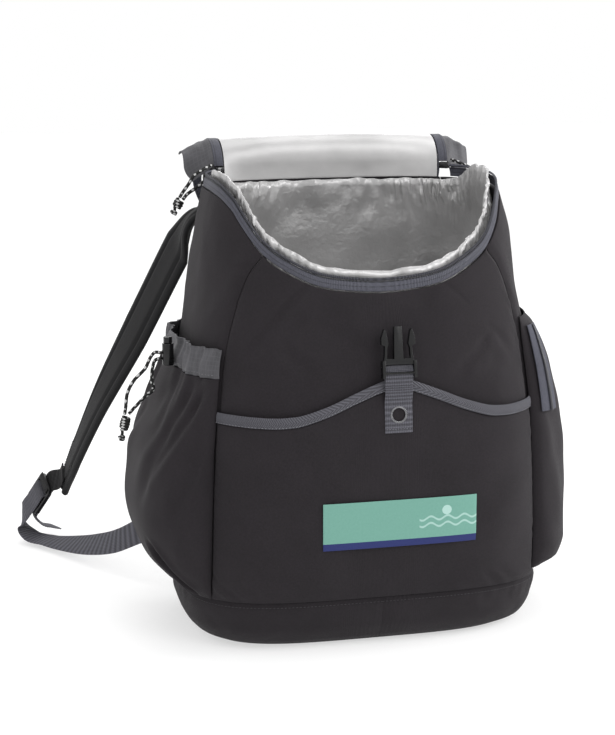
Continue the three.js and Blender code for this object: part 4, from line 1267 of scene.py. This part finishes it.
# Hard pieces keep their solid's shape, with their edges rounded
def hardPiece(node, width, segments=2, bend=30):
    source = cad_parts[node]
    piece = source.copy()
    piece.data = source.data.copy()
    piece.name = f"{node}_moulded"
    for key in [k for k in piece.keys() if k.startswith("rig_")]:
        del piece[key]
    piece.parent = None
    bpy.context.scene.collection.objects.link(piece)
    mesh = bmesh.new()
    mesh.from_mesh(piece.data)
    bmesh.ops.remove_doubles(mesh, verts=mesh.verts, dist=0.00001)
    bmesh.ops.dissolve_limit(mesh, angle_limit=math.radians(2), verts=mesh.verts, edges=mesh.edges)
    mesh.to_mesh(piece.data)
    mesh.free()
    if width:
        applyModifier(piece, "BEVEL", width=width * mm, segments=segments, limit_method="ANGLE",
                      angle_limit=math.radians(bend))
    bpy.ops.object.select_all(action="DESELECT")
    bpy.context.view_layer.objects.active = piece
    piece.select_set(True)
    bpy.ops.object.shade_smooth_by_angle(angle=math.radians(40))
    return piece


glossPlastic = plasticMaterial("buckle plastic", tones["plastic"], 0.24)
for node in ("buckle_plug", "buckle_socket", "ladder_lock_left", "ladder_lock_right", "zip_slider_left",
             "zip_slider_right", "cord_lock_barrel", "cord_lock_button"):
    finishPiece(hardPiece(node, 0.5), [node], glossPlastic)
finishPiece(hardPiece("eyelet", 0.2, 3, 20), ["eyelet"], metalMaterial("eyelet metal", tones["metal"], 0.28))

lidWebbing = hardPiece("lid_webbing", 0.3)
finishPiece(lidWebbing, ["lid_webbing"],
            clothMaterial("lid webbing", tones["webbing"], 0.0015, (0.025, 0.07)))
print("hard pieces")


# Cords: round tubes along the routes of their solids
cordSpec = {"diameter": 3.2, "sides": 12}


def cordTube(name, points, steps, diameter):
    rows = [(*p, 0, 0) for p in points]
    centres = [Vector(v[:3]) for v in smoothPath(rows, steps)]
    mesh = bmesh.new()
    uvLayer = mesh.loops.layers.uv.new("UVMap")
    side = None
    loops = []
    for k, here in enumerate(centres):
        along = (centres[min(steps, k + 1)] - centres[max(0, k - 1)]).normalized()
        side = along.orthogonal() if side is None else side
        side = (side - along * side.dot(along)).normalized()
        other = along.cross(side)
        loop = []
        for i in range(cordSpec["sides"]):
            turn = 2 * math.pi * i / cordSpec["sides"]
            loop.append(mesh.verts.new((here + (side * math.cos(turn) + other * math.sin(turn)) * diameter / 2) * mm))
        loops.append(loop)
    count = cordSpec["sides"]
    for k in range(steps):
        for i in range(count):
            j = (i + 1) % count
            face = mesh.faces.new((loops[k][i], loops[k][j], loops[k + 1][j], loops[k + 1][i]))
            for loop, (u, v) in zip(face.loops, ((i, k), (i + 1, k), (i + 1, k + 1), (i, k + 1))):
                loop[uvLayer].uv = (u / count, v / steps)
    mesh.faces.new(list(reversed(loops[0])))
    mesh.faces.new(loops[-1])
    bmesh.ops.recalc_face_normals(mesh, faces=mesh.faces)
    data = bpy.data.meshes.new(name)
    mesh.to_mesh(data)
    mesh.free()
    piece = bpy.data.objects.new(name, data)
    bpy.context.scene.collection.objects.link(piece)
    bpy.ops.object.select_all(action="DESELECT")
    bpy.context.view_layer.objects.active = piece
    piece.select_set(True)
    bpy.ops.object.shade_smooth_by_angle(angle=math.radians(60))
    length = sum((b - a).length for a, b in zip(centres, centres[1:]))
    return piece, [tuple(c * mm) for c in centres], length * mm


pullUpper = [(-117.5, 80.5, 421.6), (-122, 78.5, 420.5), (-130, 75, 417), (-137, 72, 413), (-143, 69, 405),
             (-149, 66, 398), (-152, 64, 394)]
pullLower = [(-120, 82.8, 415), (-123.5, 78.5, 409.5), (-135, 70, 402), (-145, 66, 396), (-149, 64.8, 391.5)]
drawUpper = [(-184.1, -11.6, 262), (-190, -10, 262.5), (-194, -9, 258), (-199, -9, 248), (-210, -10, 237),
             (-216, -11, 226), (-218, -12, 213), (-219, -12, 207)]
drawLower = [(-184.5, -11.4, 257), (-189.5, -8, 255), (-192, -6, 247), (-193, -7, 236), (-192, -8, 228),
             (-200, -9, 221.5), (-209, -10, 213), (-215.1, -11, 206.9)]


lockLow, lockHigh = [Vector(corner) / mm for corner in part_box("cord_lock_barrel")]
lockShift = (lockLow + lockHigh) / 2 - Vector((-178.5, -12, 261))


def besideLock(points):
    return [tuple(Vector(p) + lockShift) for p in points]


def woundKnot(name, start, end, turns, radius, tail, node):
    # Cord wound round itself, with a short free end past the winding
    a, b = Vector(start), Vector(end)
    along = (b - a).normalized()
    side = along.orthogonal().normalized()
    other = along.cross(side)
    wound = (b - a).length * (1 - tail)
    points = []
    count = turns * 10
    for k in range(count + 1):
        share = k / count
        turn = 2 * math.pi * turns * share
        swell = radius * (0.82 + 0.18 * math.sin(math.pi * share))
        place = a + along * (1.6 + (wound - 3.0) * share)
        points.append(tuple(place + (side * math.cos(turn) + other * math.sin(turn)) * swell))
    last = a + along * (wound + 0.5)
    points.append(tuple(last + side * radius * 0.3))
    bead = (b - last).length - 2.0
    for k in range(1, 15):
        turn = 2 * math.pi * k / 7
        swell = 0.62 * radius * blendStep(1, 5, k)
        points.append(tuple(last + along * bead * (0.45 + 0.55 * k / 14)
                            + (side * math.cos(turn) + other * math.sin(turn)) * swell))
    piece, centres, length = cordTube(name, points, count * 2 + 20, 2.8)
    return finishPiece(piece, [node], cordMaterial(name, tones["cord"], (0.5, 0.5, 0.5), length))


drawKnot = woundKnot("drawcord_knot_wound", *besideLock([(-217, -11.5, 205.8), (-223.5, -13, 182)]), 5, 3.4, 0.42, "drawcord_knot")
for side, sign in (("left", 1), ("right", -1)):
    woundKnot(f"pull_knot_{side}_wound", (-151.1 * sign, 63.7, 392.6), (-160 * sign, 60.4, 377.6), 3,
                            3.6, 0.4, f"pull_knot_{side}")

strands = [("drawcord_upper", besideLock(drawUpper), "draw", 1), ("drawcord_lower", besideLock(drawLower), "draw", 1)]
for side, sign in (("left", 1), ("right", -1)):
    strands.append((f"pull_cord_upper_{side}", pullUpper, side, sign))
    strands.append((f"pull_cord_lower_{side}", pullLower, side, sign))
for node, points, knot, sign in strands:
    route = [(x * sign, y, z) for x, y, z in points]
    piece, centres, length = cordTube(f"{node}_cord", route, 60, cordSpec["diameter"])
    finishPiece(piece, [node], cordMaterial(node, tones["cord"], (0.5, 0.5, 0.5), length))
print("cords")


# Stitches, as short rounded threads laid along a seam
def stitchRow(name, route, tone, length=2.3, pitch=3.4, radius=0.28):
    points = [Vector(p) for p in route]
    mesh = bmesh.new()
    travelled = 0.0
    due = 0.0
    for a, b in zip(points, points[1:]):
        step = (b - a).length
        while due <= travelled + step:
            place = a.lerp(b, (due - travelled) / max(step, 1e-6))
            turn = (b - a).to_track_quat("Z", "Y").to_matrix().to_4x4()
            shape = Matrix.Translation(place * mm) @ turn @ Matrix.Diagonal((radius * mm, radius * mm, length / 2 * mm, 1))
            bmesh.ops.create_icosphere(mesh, subdivisions=1, radius=1, matrix=shape)
            due += pitch
        travelled += step
    data = bpy.data.meshes.new(name)
    mesh.to_mesh(data)
    mesh.free()
    for polygon in data.polygons:
        polygon.use_smooth = True
    piece = bpy.data.objects.new(name, data)
    bpy.context.scene.collection.objects.link(piece)
    thread = plasticMaterial(name, tone, 0.6)
    return finishPiece(piece, [], thread)


def alongBoot(drop):
    z = body["bootHeight"] - drop
    return [skinPoint(-90 + k, z, 0.25) for k in range(361)]


threadTone = (0.035, 0.033, 0.037)
stitchRow("base_stitches", alongBoot(4.5), threadTone)
casingRow = [Vector(casingPlace(k / 200, 0.12)) + Vector((0, 0, 0)) for k in range(4, 197)]
stitchRow("casing_stitches", casingRow, (0.13, 0.13, 0.14))
for height, name in ((205.5, "low"), (237, "high")):
    row = [Vector(frontPlace(height, onPocket + webbing["thickness"] / 2 + (2.2 if name == "high" else 0.1))[:3])
           + Vector((x, 0, 0)) for x in range(-11, 12)]
    stitchRow(f"tab_stitches_{name}", row, (0.16, 0.16, 0.18), length=1.8, pitch=2.6)
for edge in (0.12, 0.88):
    route = [Vector(bandEdge) for bandEdge in (
        skinPoint(-90 + (2 * k / 300 - 1) * 52.5,
                  edgeZ(skinPoint(-90 + (2 * k / 300 - 1) * 52.5, 230).x) + (edge - 0.5) * frontPocket["bindingWidth"],
                  frontSpace(-90 + (2 * k / 300 - 1) * 52.5, 230) + frontPocket["bindingThickness"] - 0.35)
        for k in range(301))]
    if edge < 0.5:
        stitchRow("binding_stitches", route, (0.2, 0.2, 0.22), length=2.0, pitch=3.0)

for side, sign in (("left", 1), ("right", -1)):
    rows = padRows if sign > 0 else mirrorRows(padRows)
    frames = sweptFrames(rows, strap["steps"])
    box = []
    for k, share in ((146, -0.36), (146, 0.36), (132, 0.36), (132, -0.36), (146, -0.36), (132, 0.36), (132, -0.36), (146, 0.36)):
        here, along, wide, thick = frames[k]
        narrow = 1 - 0.4 * blendStep(0.85, 1, k / strap["steps"])
        out = strap["thickness"] / 2 * (1 - abs(2 * share) ** 5) ** 0.6 - 0.2
        box.append(here + wide * share * strap["width"] * narrow - thick * out)
    stitchRow(f"strap_stitches_{side}", box, (0.03, 0.03, 0.032), length=2.6, pitch=3.4, radius=0.35)
print("stitches")
